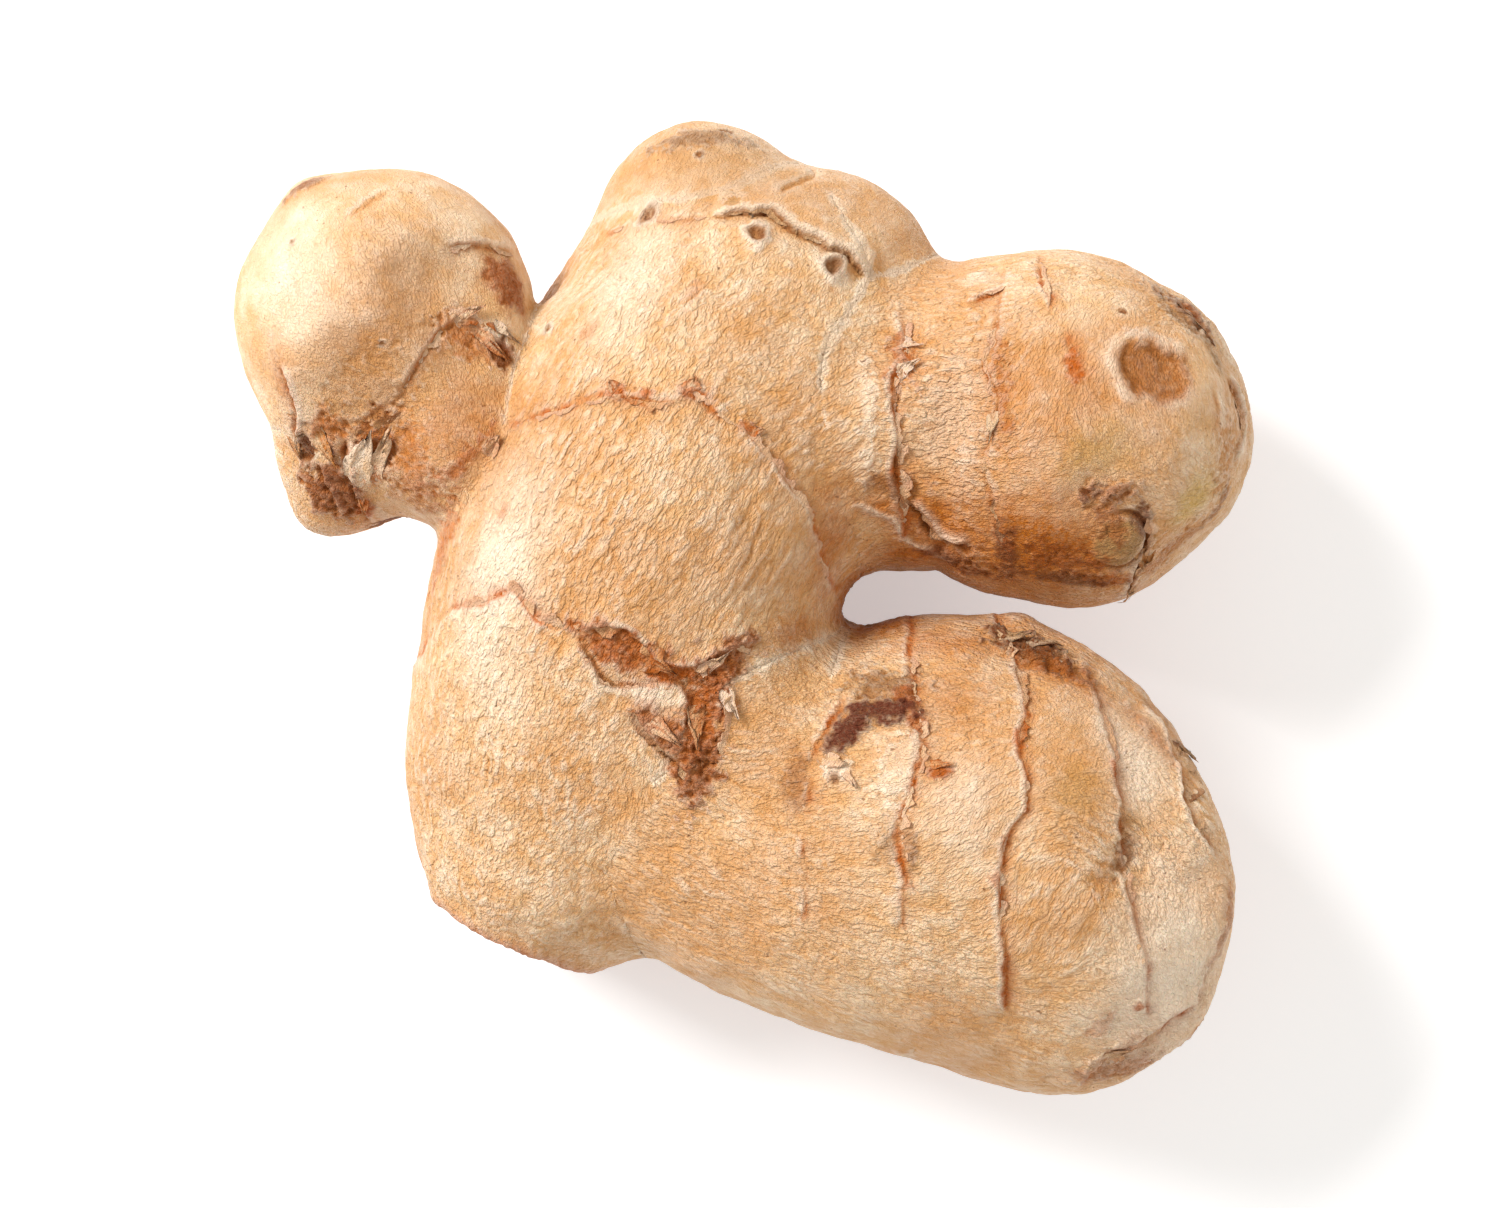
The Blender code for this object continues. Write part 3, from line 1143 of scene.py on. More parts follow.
PATCHES = (
    # the torn brown scale, in three arms round a pale corner
    Patch((-12.6, -5.0), (4.8, 2.3), -24.0, stained(rust=0.85, umber=0.3), 0.0, 0.1, 0.7, 0.5),
    Patch((-6.6, -7.2), (3.0, 1.2), -6.0, stained(rust=0.95, umber=0.1), 0.1, 0.1, 0.5, 0.5),
    Patch((-1.2, -6.0), (3.9, 1.9), 32.0, stained(rust=0.75, umber=0.5), 0.0, 0.1, 0.7, 0.5),
    Patch((-4.0, -12.4), (7.0, 2.5), 78.0, stained(rust=0.85, umber=0.3), 0.0, 0.12, 0.8, 0.6),
    Patch((-4.6, -17.6), (3.6, 1.8), 70.0, stained(rust=0.7, umber=0.5), 0.0, 0.12, 0.8, 0.8),
    Patch((-8.3, -13.6), (4.4, 1.6), -50.0, stained(rust=0.7, umber=0.4), 0.1, 0.12, 0.6, 0.4),
    Patch((-8.4, -9.8), (2.7, 1.7), -22.0, stained(pale=0.7), 0.15, 0.0, 0.1),
    Patch((-1.6, -9.6), (1.2, 2.2), 0.0, stained(pale=0.35), 0.15, 0.1, 0.4),
    # the purple brown scale on the lower finger, over pale skin
    Patch((13.6, -7.6), (3.8, 2.2), -14.0, stained(umber=0.55, grey=0.5), 0.0, 0.1, 0.6, 0.8),
    Patch((13.6, -10.2), (3.6, 1.4), -6.0, stained(purple=1.0, umber=0.5), 0.1, 0.1, 0.5, 0.5),
    Patch((10.2, -12.2), (3.0, 1.5), 52.0, stained(purple=1.0, umber=0.5), 0.1, 0.1, 0.5, 0.5),
    Patch((16.4, -9.8), (1.1, 2.6), 24.0, stained(rust=0.8, umber=0.3), 0.1, 0.1, 0.5, 0.7),
    Patch((15.4, -15.4), (3.4, 2.6), 70.0, stained(pale=0.35), 0.2, 0.0, 0.0, 0.4),
    Patch((9.0, -16.2), (1.5, 1.0), 10.0, stained(pale=0.6), 0.2, 0.15, 0.3, 0.3),
    Patch((8.7, -16.9), (0.7, 0.5), 10.0, stained(umber=0.7), -0.2, 0.0, 0.1, 0.3),
    # rusty spots and dark places on the lower finger's rings, and orange-brown washes of painted shade on
    # its top and flanks
    Patch((19.2, -16.2), (1.3, 0.7), 8.0, stained(rust=1.0, umber=0.25), 0.12, 0.1, 0.3),
    Patch((27.8, -13.2), (0.7, 1.1), 10.0, stained(rust=0.9), 0.1, 0.1, 0.3),
    Patch((37.8, -16.3), (0.6, 1.0), 10.0, stained(rust=0.9), 0.1, 0.1, 0.3),
    Patch((25.8, -27.8), (0.9, 0.9), 10.0, stained(rust=0.6), 0.1, 0.1, 0.3),
    Patch((40.6, -41.3), (0.7, 0.5), 10.0, stained(rust=0.8), 0.1, 0.1, 0.3),
    Patch((33.8, -18.6), (3.2, 2.6), 40.0, stained(amber=0.45, yellow=0.3), 0.0, ragged=0.6),
    Patch((38.8, -25.0), (2.2, 1.2), 60.0, stained(umber=0.45, amber=0.4), -0.2, 0.0, 0.5, 0.6),
    Patch((39.6, -21.6), (1.4, 1.2), 0.0, stained(grey=0.5), 0.0, 0.0, 0.2, 0.6),
    Patch((36.4, -28.0), (2.6, 1.4), 70.0, stained(amber=0.4), 0.0, 0.0, 0.2, 0.6),
    Patch((13.8, -24.4), (2.0, 1.2), 80.0, stained(umber=0.3, grey=0.4), 0.0, 0.0, 0.3, 0.7),
    Patch((16.0, -24.6), (0.6, 1.8), 0.0, stained(umber=0.6), 0.0, 0.0, 0.3, 0.5),
    Patch((5.0, -17.0), (3.2, 1.4), 84.0, stained(umber=0.4, amber=0.4), 0.0, 0.0, 0.2, 0.6),
    Patch((29.0, -3.6), (3.8, 2.2), -26.0, stained(umber=0.95, grey=0.3), 0.4, 0.25, 0.9, 0.7),
    Patch((32.4, -5.6), (3.0, 1.6), -34.0, stained(umber=0.6, rust=0.4), 0.2, 0.1, 0.6, 0.8),
    Patch((22.0, -3.6), (7.0, 2.0), -3.0, stained(amber=0.6), 0.0, 0.0, 0.1, 0.4),
    Patch((32.0, -5.8), (6.0, 2.4), -24.0, stained(amber=0.9), 0.0, 0.0, 0.2, 0.4),
    Patch((42.4, -13.2), (4.4, 1.4), -56.0, stained(amber=0.7), 0.0, 0.0, 0.2, 0.4),
    Patch((38.0, -48.4), (4.6, 1.4), 4.0, stained(umber=0.25, rust=0.4), 0.1, 0.1, 0.5, 0.5),
    Patch((38.4, -46.2), (3.2, 1.2), 38.0, stained(rust=0.3), 0.1, 0.12, 0.4, 0.5),
    Patch((36.2, -43.6), (2.0, 1.0), 60.0, stained(rust=0.35), 0.0, 0.1, 0.2, 0.5),
    Patch((48.4, -42.6), (4.0, 1.0), 62.0, stained(rust=0.5, umber=0.4), 0.0, 0.0, 0.5, 0.9),
    Patch((49.8, -33.0), (4.0, 0.9), 78.0, stained(rust=0.4, umber=0.2), 0.0, 0.0, 0.4, 0.9),
    # painted highlight: pale washes on the lower finger's right side
    Patch((43.4, -39.0), (7.0, 12.0), -14.0, stained(pale=0.75), 0.0, 0.0, 0.0, 0.4),
    Patch((40.2, -15.6), (3.4, 6.0), 24.0, stained(pale=0.65), 0.0, 0.0, 0.0, 0.4),
    Patch((22.0, -20.0), (4.0, 6.0), 10.0, stained(pale=0.35), 0.0, 0.0, 0.0, 0.5),
    # painted shade where the right finger shades the lower one, and on the right finger's middle
    Patch((22.0, -8.6), (4.4, 3.6), 10.0, stained(amber=0.4), 0.0, 0.0, 0.0, 0.5),
    Patch((31.0, 20.4), (4.0, 5.4), 10.0, stained(amber=0.35), 0.0, 0.0, 0.0, 0.5),
    # the right finger's end: yellow and purple skin, a crusty ridge over the bud scale, and broad
    # orange-brown washes of painted shade over much of it, thickest on its lower side and neck
    Patch((46.6, 10.2), (1.9, 2.9), -28.0, stained(yellow=0.9, pale=0.3), 0.0, 0.0, 0.15, 0.6),
    Patch((49.2, 9.6), (1.0, 3.0), -30.0, stained(purple=0.35, amber=0.5), 0.0, 0.1, 0.3, 0.6),
    Patch((44.6, 5.0), (4.4, 2.2), 42.0, stained(amber=0.6, umber=0.15), 0.0, 0.0, 0.5, 0.8),
    Patch((37.6, 10.6), (3.0, 0.9), 4.0, stained(umber=0.45, rust=0.35), 0.2, 0.12, 0.8, 0.6),
    Patch((35.6, 14.8), (4.0, 2.4), 20.0, stained(yellow=0.35, amber=0.35), 0.0, 0.0, 0.1, 0.7),
    Patch((34.6, 10.2), (1.8, 0.8), 30.0, stained(purple=0.5, umber=0.3), 0.0, 0.0, 0.3, 1.0),
    Patch((40.8, 8.2), (1.0, 1.6), 0.0, stained(purple=0.5, umber=0.6), 0.0, 0.1, 0.5, 0.5),
    Patch((36.8, 2.0), (3.0, 1.2), -14.0, stained(rust=0.7, yellow=0.3), 0.0, 0.1, 0.4, 0.5),
    Patch((33.0, 2.0), (5.2, 1.1), -14.0, stained(umber=0.7, purple=0.2), 0.0, 0.0, 0.4, 0.5),
    Patch((29.0, 5.0), (10.0, 8.0), 0.0, stained(amber=1.0), 0.0, 0.0, 0.1, 0.4),
    Patch((31.0, 18.0), (10.0, 9.0), 0.0, stained(amber=0.5), 0.0, 0.0, 0.1, 0.4),
    Patch((31.6, 4.0), (4.6, 1.8), -14.0, stained(umber=0.45, rust=0.5), 0.0, 0.0, 0.5, 1.0),
    Patch((36.6, 8.6), (2.6, 1.6), -60.0, stained(umber=0.35, rust=0.4), 0.0, 0.0, 0.5, 1.0),
    Patch((22.6, 3.4), (4.0, 1.4), -8.0, stained(umber=0.7, rust=0.4), 0.0, 0.0, 0.5, 0.8),
    Patch((15.8, 25.8), (1.3, 3.0), 4.0, stained(rust=0.6, umber=0.15), 0.0, 0.1, 0.6, 1.0),
    Patch((25.2, 21.4), (0.9, 4.6), 2.0, stained(rust=0.45, grey=0.3), 0.0, 0.0, 0.4, 1.0),
    Patch((46.0, 30.6), (3.8, 1.4), -46.0, stained(umber=0.5, purple=0.3), 0.0, 0.1, 0.5, 0.9),
    Patch((26.2, 5.0), (1.0, 3.6), 4.0, stained(purple=0.5, umber=0.5), 0.0, 0.0, 0.3, 0.6),
    Patch((19.6, 8.0), (7.0, 4.0), -34.0, stained(amber=1.0), 0.0, 0.0, 0.2, 0.6),
    Patch((18.6, 4.6), (6.0, 3.4), -14.0, stained(amber=1.0), 0.0, 0.0, 0.2, 0.5),
    Patch((14.6, 11.4), (2.4, 1.3), -24.0, stained(umber=0.5, amber=0.6), 0.0, 0.0, 0.2, 0.6),
    Patch((45.4, 29.6), (3.2, 1.2), -42.0, stained(purple=0.3, grey=0.6), 0.0, 0.1, 0.4, 0.6),
    Patch((48.8, 25.4), (2.4, 0.9), -62.0, stained(grey=0.6, umber=0.2), 0.0, 0.0, 0.3, 0.6),
    Patch((40.8, 27.6), (2.2, 0.8), 0.0, stained(amber=0.6), 0.0, 0.0, 0.2, 0.6),
    Patch((33.3, 24.4), (0.7, 1.8), 6.0, stained(rust=0.9), 0.0, 0.1, 0.2, 0.5),
    Patch((50.0, 15.0), (2.0, 4.6), 0.0, stained(amber=0.35), 0.0, 0.0, 0.5, 0.8),
    Patch((38.8, 30.2), (0.45, 0.4), 0.0, stained(umber=0.9), -0.15, 0.0, 0.0, 0.2),
    Patch((20.4, 19.0), (3.0, 6.6), 0.0, stained(pale=0.35), 0.0, 0.0, 0.0, 0.7),
    Patch((13.2, 18.6), (1.2, 6.6), 0.0, stained(pale=0.4), 0.1, 0.0, 0.2, 0.6),
    Patch((23.4, 34.2), (2.0, 1.4), 20.0, stained(pale=0.5), 0.1, 0.0, 0.1, 0.5),
    # painted shade: orange-brown washes on the trunk's shaded side and in the crotch between the two
    # fingers, with a dark umber spot in the crotch
    Patch((9.4, 6.4), (7.0, 3.0), 100.0, stained(amber=0.7), 0.0, 0.0, 0.1, 0.7),
    Patch((11.0, 0.6), (5.0, 4.0), 45.0, stained(amber=1.0), 0.0, 0.0, 0.3, 0.6),
    Patch((11.6, 0.0), (2.6, 1.6), 45.0, stained(umber=0.5), 0.0, 0.0, 0.3, 0.9),
    Patch((6.0, -2.6), (4.0, 2.0), 10.0, stained(amber=0.6), 0.0, 0.0, 0.2, 0.6),
    # the crown's grey cap, under a wash of painted shade
    Patch((-2.0, 46.0), (10.0, 6.0), -8.0, stained(amber=0.35, grey=0.35), 0.0, 0.0, 0.0, 0.4),
    Patch((-4.8, 49.2), (4.6, 1.4), 4.0, stained(grey=0.6, umber=0.45), 0.12, 0.1, 0.3, 0.8),
    Patch((-1.5, 50.0), (0.8, 0.5), 0.0, stained(umber=0.9), -0.2, 0.0, 0.2, 0.4),
    Patch((-0.8, 41.7), (1.0, 0.6), 40.0, stained(grey=0.7), -0.12, 0.0, 0.0, 0.4),
    Patch((3.2, 45.8), (5.6, 2.2), -30.0, stained(grey=0.25), 0.0, 0.0, 0.0, 0.7),
    # the round knob: a brown side by the crown, painted shade in orange-brown and grey over its right half
    # and its neck, a dark fibrous nose
    Patch((-23.6, 33.2), (3.4, 1.9), -54.0, stained(rust=0.85, umber=0.5), 0.0, 0.0, 0.4, 0.5),
    Patch((-27.6, 27.4), (3.4, 2.0), -30.0, stained(amber=0.7, rust=0.3), 0.0, 0.1, 0.5, 0.7),
    Patch((-24.0, 26.0), (1.6, 1.1), -60.0, stained(umber=0.7, rust=0.6), -0.2, 0.1, 0.5, 0.5),
    Patch((-34.0, 29.0), (11.0, 6.6), 62.0, stained(amber=0.45, grey=0.12), 0.0, 0.0, 0.1, 0.5),
    Patch((-37.4, 22.0), (7.0, 4.4), 38.0, stained(amber=0.4, grey=0.25), 0.0, 0.0, 0.2, 0.5),
    Patch((-30.4, 16.4), (6.0, 5.0), 50.0, stained(amber=0.6), 0.0, 0.0, 0.1, 0.7),
    Patch((-34.6, 13.4), (3.0, 5.0), 0.0, stained(amber=0.7, rust=0.2), 0.0, 0.1, 0.4, 0.7),
    Patch((-42.6, 11.2), (3.4, 3.6), -25.0, stained(umber=0.6, rust=0.7), 0.0, 0.15, 0.9, 0.6),
    Patch((-45.2, 15.2), (1.1, 2.2), -8.0, stained(umber=0.95, rust=0.3), -0.4, 0.15, 0.5, 0.5),
    Patch((-42.4, 17.2), (3.0, 2.4), 10.0, stained(amber=0.8, rust=0.3), 0.0, 0.1, 0.7, 0.7),
    Patch((-38.0, 14.6), (2.0, 4.0), -18.0, stained(rust=0.6, umber=0.3), -0.2, 0.1, 0.6, 0.6),
    Patch((-39.4, 9.6), (1.0, 1.8), 10.0, stained(rust=1.0, umber=0.3), 0.1, 0.1, 0.4, 0.5),
    Patch((-36.6, 7.8), (2.6, 1.3), -24.0, stained(umber=0.95, purple=0.3), -0.2, 0.0, 0.4, 0.5),
    Patch((-45.6, 43.4), (2.2, 1.0), 28.0, stained(umber=0.7, rust=0.3), 0.2, 0.15, 0.3, 0.5),
    # painted highlight: pale washes on the knob's, the trunk's and the crown's left flanks, which face the
    # key lamp
    Patch((-46.0, 34.0), (5.0, 9.0), 10.0, stained(pale=0.5), 0.0, 0.0, 0.0, 0.4),
    Patch((-25.0, 4.0), (5.0, 11.0), -14.0, stained(pale=0.7), 0.0, 0.0, 0.0, 0.4),
    Patch((-26.0, -7.0), (5.0, 6.0), 10.0, stained(pale=0.4), 0.0, 0.0, 0.0, 0.4),
    Patch((-11.5, 34.0), (3.6, 9.0), -20.0, stained(pale=0.5), 0.0, 0.0, 0.0, 0.4),
    Patch((-47.4, 23.0), (1.4, 4.4), 12.0, stained(amber=0.5), 0.0, 0.0, 0.1, 0.7),
    # rusty freckles on the trunk, thickest where the knob's neck joins it
    Patch((-25.0, 9.4), (1.0, 0.6), 50.0, stained(rust=0.5), 0.0),
    Patch((-12.8, 21.7), (1.0, 0.8), 0.0, stained(rust=0.9), 0.2, 0.1, 0.4),
    Patch((-10.0, 21.4), (0.9, 0.6), 0.0, stained(rust=0.8), 0.15, 0.1, 0.4),
    Patch((-5.0, 21.6), (1.6, 0.8), -20.0, stained(rust=0.85), 0.15, 0.1, 0.4),
    Patch((1.0, 17.8), (1.2, 0.6), -30.0, stained(rust=0.8), 0.1, 0.1, 0.3),
    Patch((-16.2, 27.6), (1.2, 0.7), 60.0, stained(rust=0.35), 0.0),
    Patch((-5.0, 32.0), (1.4, 0.7), 60.0, stained(rust=0.35), 0.0),
    # painted shade with the rust where the knob's neck joins the trunk
    Patch((-31.6, 6.0), (1.6, 5.4), -20.0, stained(rust=0.55, amber=0.3), 0.0, 0.0, 0.3, 0.9),
    Patch((-28.6, 13.2), (4.4, 0.9), 50.0, stained(rust=0.6, amber=0.4), 0.0, 0.05, 0.4, 0.9),
    # the underside, which lay in the soil: duller, with a few brown places
    Patch((-6.0, 4.0), (8.0, 5.0), 60.0, stained(grey=0.35, rust=0.2), face=Face.UNDER, ragged=0.8),
    Patch((24.0, -24.0), (9.0, 6.0), -20.0, stained(grey=0.3, umber=0.15), face=Face.UNDER, ragged=0.8),
    Patch((30.0, 18.0), (6.0, 6.0), 0.0, stained(rust=0.3, umber=0.15), face=Face.UNDER, ragged=0.8),
    Patch((-36.0, 26.0), (6.0, 5.0), 30.0, stained(umber=0.3, grey=0.3), face=Face.UNDER, ragged=0.8),
)

COMBS = (
    Comb((-22.0, 8.0), 9.0, 62.0, 1.0),
    Comb((-10.0, 8.0), 10.0, 58.0, 1.1),
    Comb((-14.0, 28.0), 8.0, 63.0, 0.9),
    Comb((0.0, 28.0), 7.0, 36.0, 0.9),
    Comb((6.0, 20.0), 7.0, 24.0, 0.9),
    Comb((8.0, 8.0), 6.0, 50.0, 0.8),
    Comb((-10.0, 44.0), 6.0, 68.0, 0.8),
    Comb((4.0, 42.0), 7.0, 20.0, 0.3),
    Comb((-4.0, 46.0), 5.0, 40.0, 0.5),
    Comb((20.6, 17.0), 5.0, 2.0, 1.7),
    Comb((20.6, 26.0), 4.0, 4.0, 1.3),
    Comb((29.0, 22.0), 5.0, 74.0, 0.6),
    Comb((38.0, 16.0), 6.0, 120.0, 0.4),
    Comb((36.0, 29.0), 6.0, 60.0, 0.4),
    Comb((46.0, 22.0), 6.0, 100.0, 0.45),
    Comb((31.0, 9.0), 5.0, 20.0, 0.35),
    Comb((3.0, -10.0), 7.0, 4.0, 0.9),
    Comb((14.0, -20.0), 6.0, 15.0, 0.9),
    Comb((22.0, -20.0), 6.0, 60.0, 0.9),
    Comb((33.0, -12.0), 6.0, 30.0, 0.55),
    Comb((40.0, -24.0), 5.0, 128.0, 1.5),
    Comb((31.0, -32.0), 6.0, 62.0, 1.0),
    Comb((44.0, -36.0), 5.0, 100.0, 0.6),
    Comb((-22.0, -14.0), 9.0, 74.0, 1.0),
)

SWELLINGS = (
    Swelling((-12.0, 12.0), 9.0, 0.5),
    Swelling((-8.0, 30.0), 7.0, 0.6),
    Swelling((13.4, 18.0), 4.5, 0.6),
    Swelling((20.6, 18.5), 3.6, -0.5),
    Swelling((14.0, 27.0), 4.0, -0.8),
    Swelling((46.0, 20.0), 5.0, 0.4),
    Swelling((31.0, 12.0), 6.0, 0.5),
    Swelling((44.5, 9.0), 4.0, -0.5),
    Swelling((22.5, -16.0), 5.5, 0.4),
    Swelling((33.0, -24.0), 6.0, 0.5),
    Swelling((44.0, -34.0), 6.0, 0.5),
    Swelling((40.0, -24.0), 3.0, -0.5),
    Swelling((12.0, -16.0), 5.0, 0.3),
    Swelling((-42.0, 33.0), 7.0, 0.5),
    Swelling((-33.0, 33.0), 6.0, -0.3),
    Swelling((-29.0, 22.0), 4.0, -0.4),
    Swelling((-8.0, -8.0), 5.0, -0.4),
    Swelling((0.0, 4.0), 8.0, -0.4, Face.UNDER),
    Swelling((14.0, -22.0), 7.0, -0.6, Face.UNDER),
    Swelling((30.0, 20.0), 6.0, 0.4, Face.UNDER),
)

SCARS = (
    RootScar((-10.1, 40.4), 1.05, 0.2),
    RootScar((1.6, 38.1), 1.1, 0.3),
    RootScar((9.4, 34.9), 1.25, 0.5),
    RootScar((-4.7, 47.3), 0.5, 0.1),
    RootScar((-20.3, 28.4), 0.5, 0.05),
    RootScar((-46.2, 36.8), 0.35, 0.0),
    RootScar((-35.8, 25.4), 0.35, 0.0),
    RootScar((30.4, -33.0), 0.7, 0.15, Face.UNDER),
    RootScar((21.0, -12.0), 1.0, 0.3, Face.UNDER),
    RootScar((6.0, -30.0), 1.2, 0.35, Face.UNDER),
    RootScar((36.0, 10.0), 0.9, 0.25, Face.UNDER),
    RootScar((28.0, 24.0), 1.1, 0.3, Face.UNDER),
    RootScar((-4.0, 36.0), 1.0, 0.3, Face.UNDER),
    RootScar((-16.0, 8.0), 1.2, 0.35, Face.UNDER),
    RootScar((-10.0, -8.0), 0.9, 0.25, Face.UNDER),
    RootScar((-26.0, -12.0), 1.0, 0.3, Face.UNDER),
    RootScar((-38.0, 32.0), 0.8, 0.2, Face.UNDER),
    RootScar((2.0, 18.0), 0.8, 0.2, Face.UNDER),
)

EYE = EyeScar((42.0, 23.6), (3.8, 3.1), -12.0, 0.55, 0.24)
UNDER_EYE = EyeScar((38.0, -30.0), (3.2, 2.6), 30.0, 0.6, 0.28, Face.UNDER)
BUD = BudScale((37.9, 5.6), 2.8, -10.0, 0.7)
SNAPPED_END = SnapScar((-25.2, -34.2, 14.5), (-0.42, -0.88, -0.05))
MARKS = (
    *COMBS, *SWELLINGS, *PATCHES, *NODE_RINGS, *CRACKS_AND_FOLDS, *SCARS,
    EYE, UNDER_EYE, BUD, SNAPPED_END,
)


# --- The skin's finish ---


def tint(red: int, green: int, blue: int) -> tuple[float, float, float, float]:
    """A colour as a paint chart gives it (0 to 255), turned into linear light: ((c + 0.055) / 1.055)^2.4,
    or c / 12.92 for a very dark c."""
    shares = (value / 255.0 for value in (red, green, blue))
    linear = (c / 12.92 if c <= 0.04045 else ((c + 0.055) / 1.055) ** 2.4 for c in shares)
    return (*linear, 1.0)


Socket = bpy.types.NodeSocket


class NodeBench:
    """A short way to lay out a material's nodes."""

    def __init__(self, name: str) -> None:
        """Makes an empty material with an output.

        Args:
            name: The material's name.
        """
        self.material = bpy.data.materials.new(name)
        self.material.use_nodes = True
        self.tree = self.material.node_tree
        self.tree.nodes.clear()
        self.output = self.tree.nodes.new("ShaderNodeOutputMaterial")

    def plug(self, socket: Socket, value: object) -> None:
        """Links value to the socket if it is a socket itself, and sets it otherwise."""
        if isinstance(value, Socket):
            self.tree.links.new(value, socket)
        else:
            socket.default_value = value

    def node(self, kind: str, **inputs: object) -> bpy.types.Node:
        """A new node with these inputs, named as in Blender with _ for a space."""
        made = self.tree.nodes.new(kind)
        for name, value in inputs.items():
            self.plug(made.inputs[name.replace("_", " ")], value)
        return made

    def math(self, operation: str, first: object, second: object = 0.0, clamp: bool = False) -> Socket:
        """One sum on two numbers.

        Args:
            operation: Blender's name of the sum.
            first, second: Numbers or sockets.
            clamp: Whether the result is held between 0 and 1.

        Returns:
            The result's socket.
        """
        made = self.tree.nodes.new("ShaderNodeMath")
        made.operation = operation
        made.use_clamp = clamp
        self.plug(made.inputs[0], first)
        self.plug(made.inputs[1], second)
        return made.outputs[0]

    def ramp(self, value: object, low: float, high: float, to: float = 1.0) -> Socket:
        """A smooth ramp from 0 at low to the number to at high.

        Args:
            value: What the ramp reads.
            low, high: Where it starts and ends. It falls where low is above high.
            to: Its full height.

        Returns:
            The result's socket.
        """
        made = self.tree.nodes.new("ShaderNodeMapRange")
        made.interpolation_type = "SMOOTHSTEP"
        numbers = (value, low, high, 0.0, to) if low < high else (value, high, low, to, 0.0)
        for socket, number in zip(made.inputs, numbers):
            self.plug(socket, number)
        return made.outputs[0]

    def mix(self, share: object, first: object, second: object) -> Socket:
        """Two colours mixed.

        Args:
            share: The second colour's share, from 0 to 1.
            first, second: Colours or sockets.

        Returns:
            The mixed colour's socket.
        """
        made = self.tree.nodes.new("ShaderNodeMix")
        made.data_type = "RGBA"
        colours = [socket for socket in made.inputs if socket.type == "RGBA"]
        self.plug(made.inputs[0], share)
        self.plug(colours[0], first)
        self.plug(colours[1], second)
        return next(socket for socket in made.outputs if socket.type == "RGBA")

    def attribute(self, name: str) -> bpy.types.Node:
        """A mesh attribute."""
        made = self.tree.nodes.new("ShaderNodeAttribute")
        made.attribute_name = name
        return made

    def scaled(self, vector: object, scale: Point3) -> Socket:
        """A vector stretched along each axis.

        Args:
            vector: The vector's socket.
            scale: What each of its numbers is multiplied by.

        Returns:
            The result's socket.
        """
        made = self.tree.nodes.new("ShaderNodeVectorMath")
        made.operation = "MULTIPLY"
        self.plug(made.inputs[0], vector)
        self.plug(made.inputs[1], scale)
        return made.outputs[0]

    def noise(self, vector: object, size: float, detail: float = 2.0, rough: float = 0.5) -> Socket:
        """A cloudy field.

        Args:
            vector: Where it is read.
            size: How far its lumps are apart, in the vector's unit.
            detail: How many finer layers it has.
            rough: How strong each layer is against the one before.

        Returns:
            The field's socket, from 0 to 1.
        """
        inputs = {"Vector": vector, "Scale": 1.0 / size, "Detail": detail, "Roughness": rough}
        made = self.node("ShaderNodeTexNoise", **inputs)
        return made.outputs["Factor" if "Factor" in made.outputs else "Fac"]


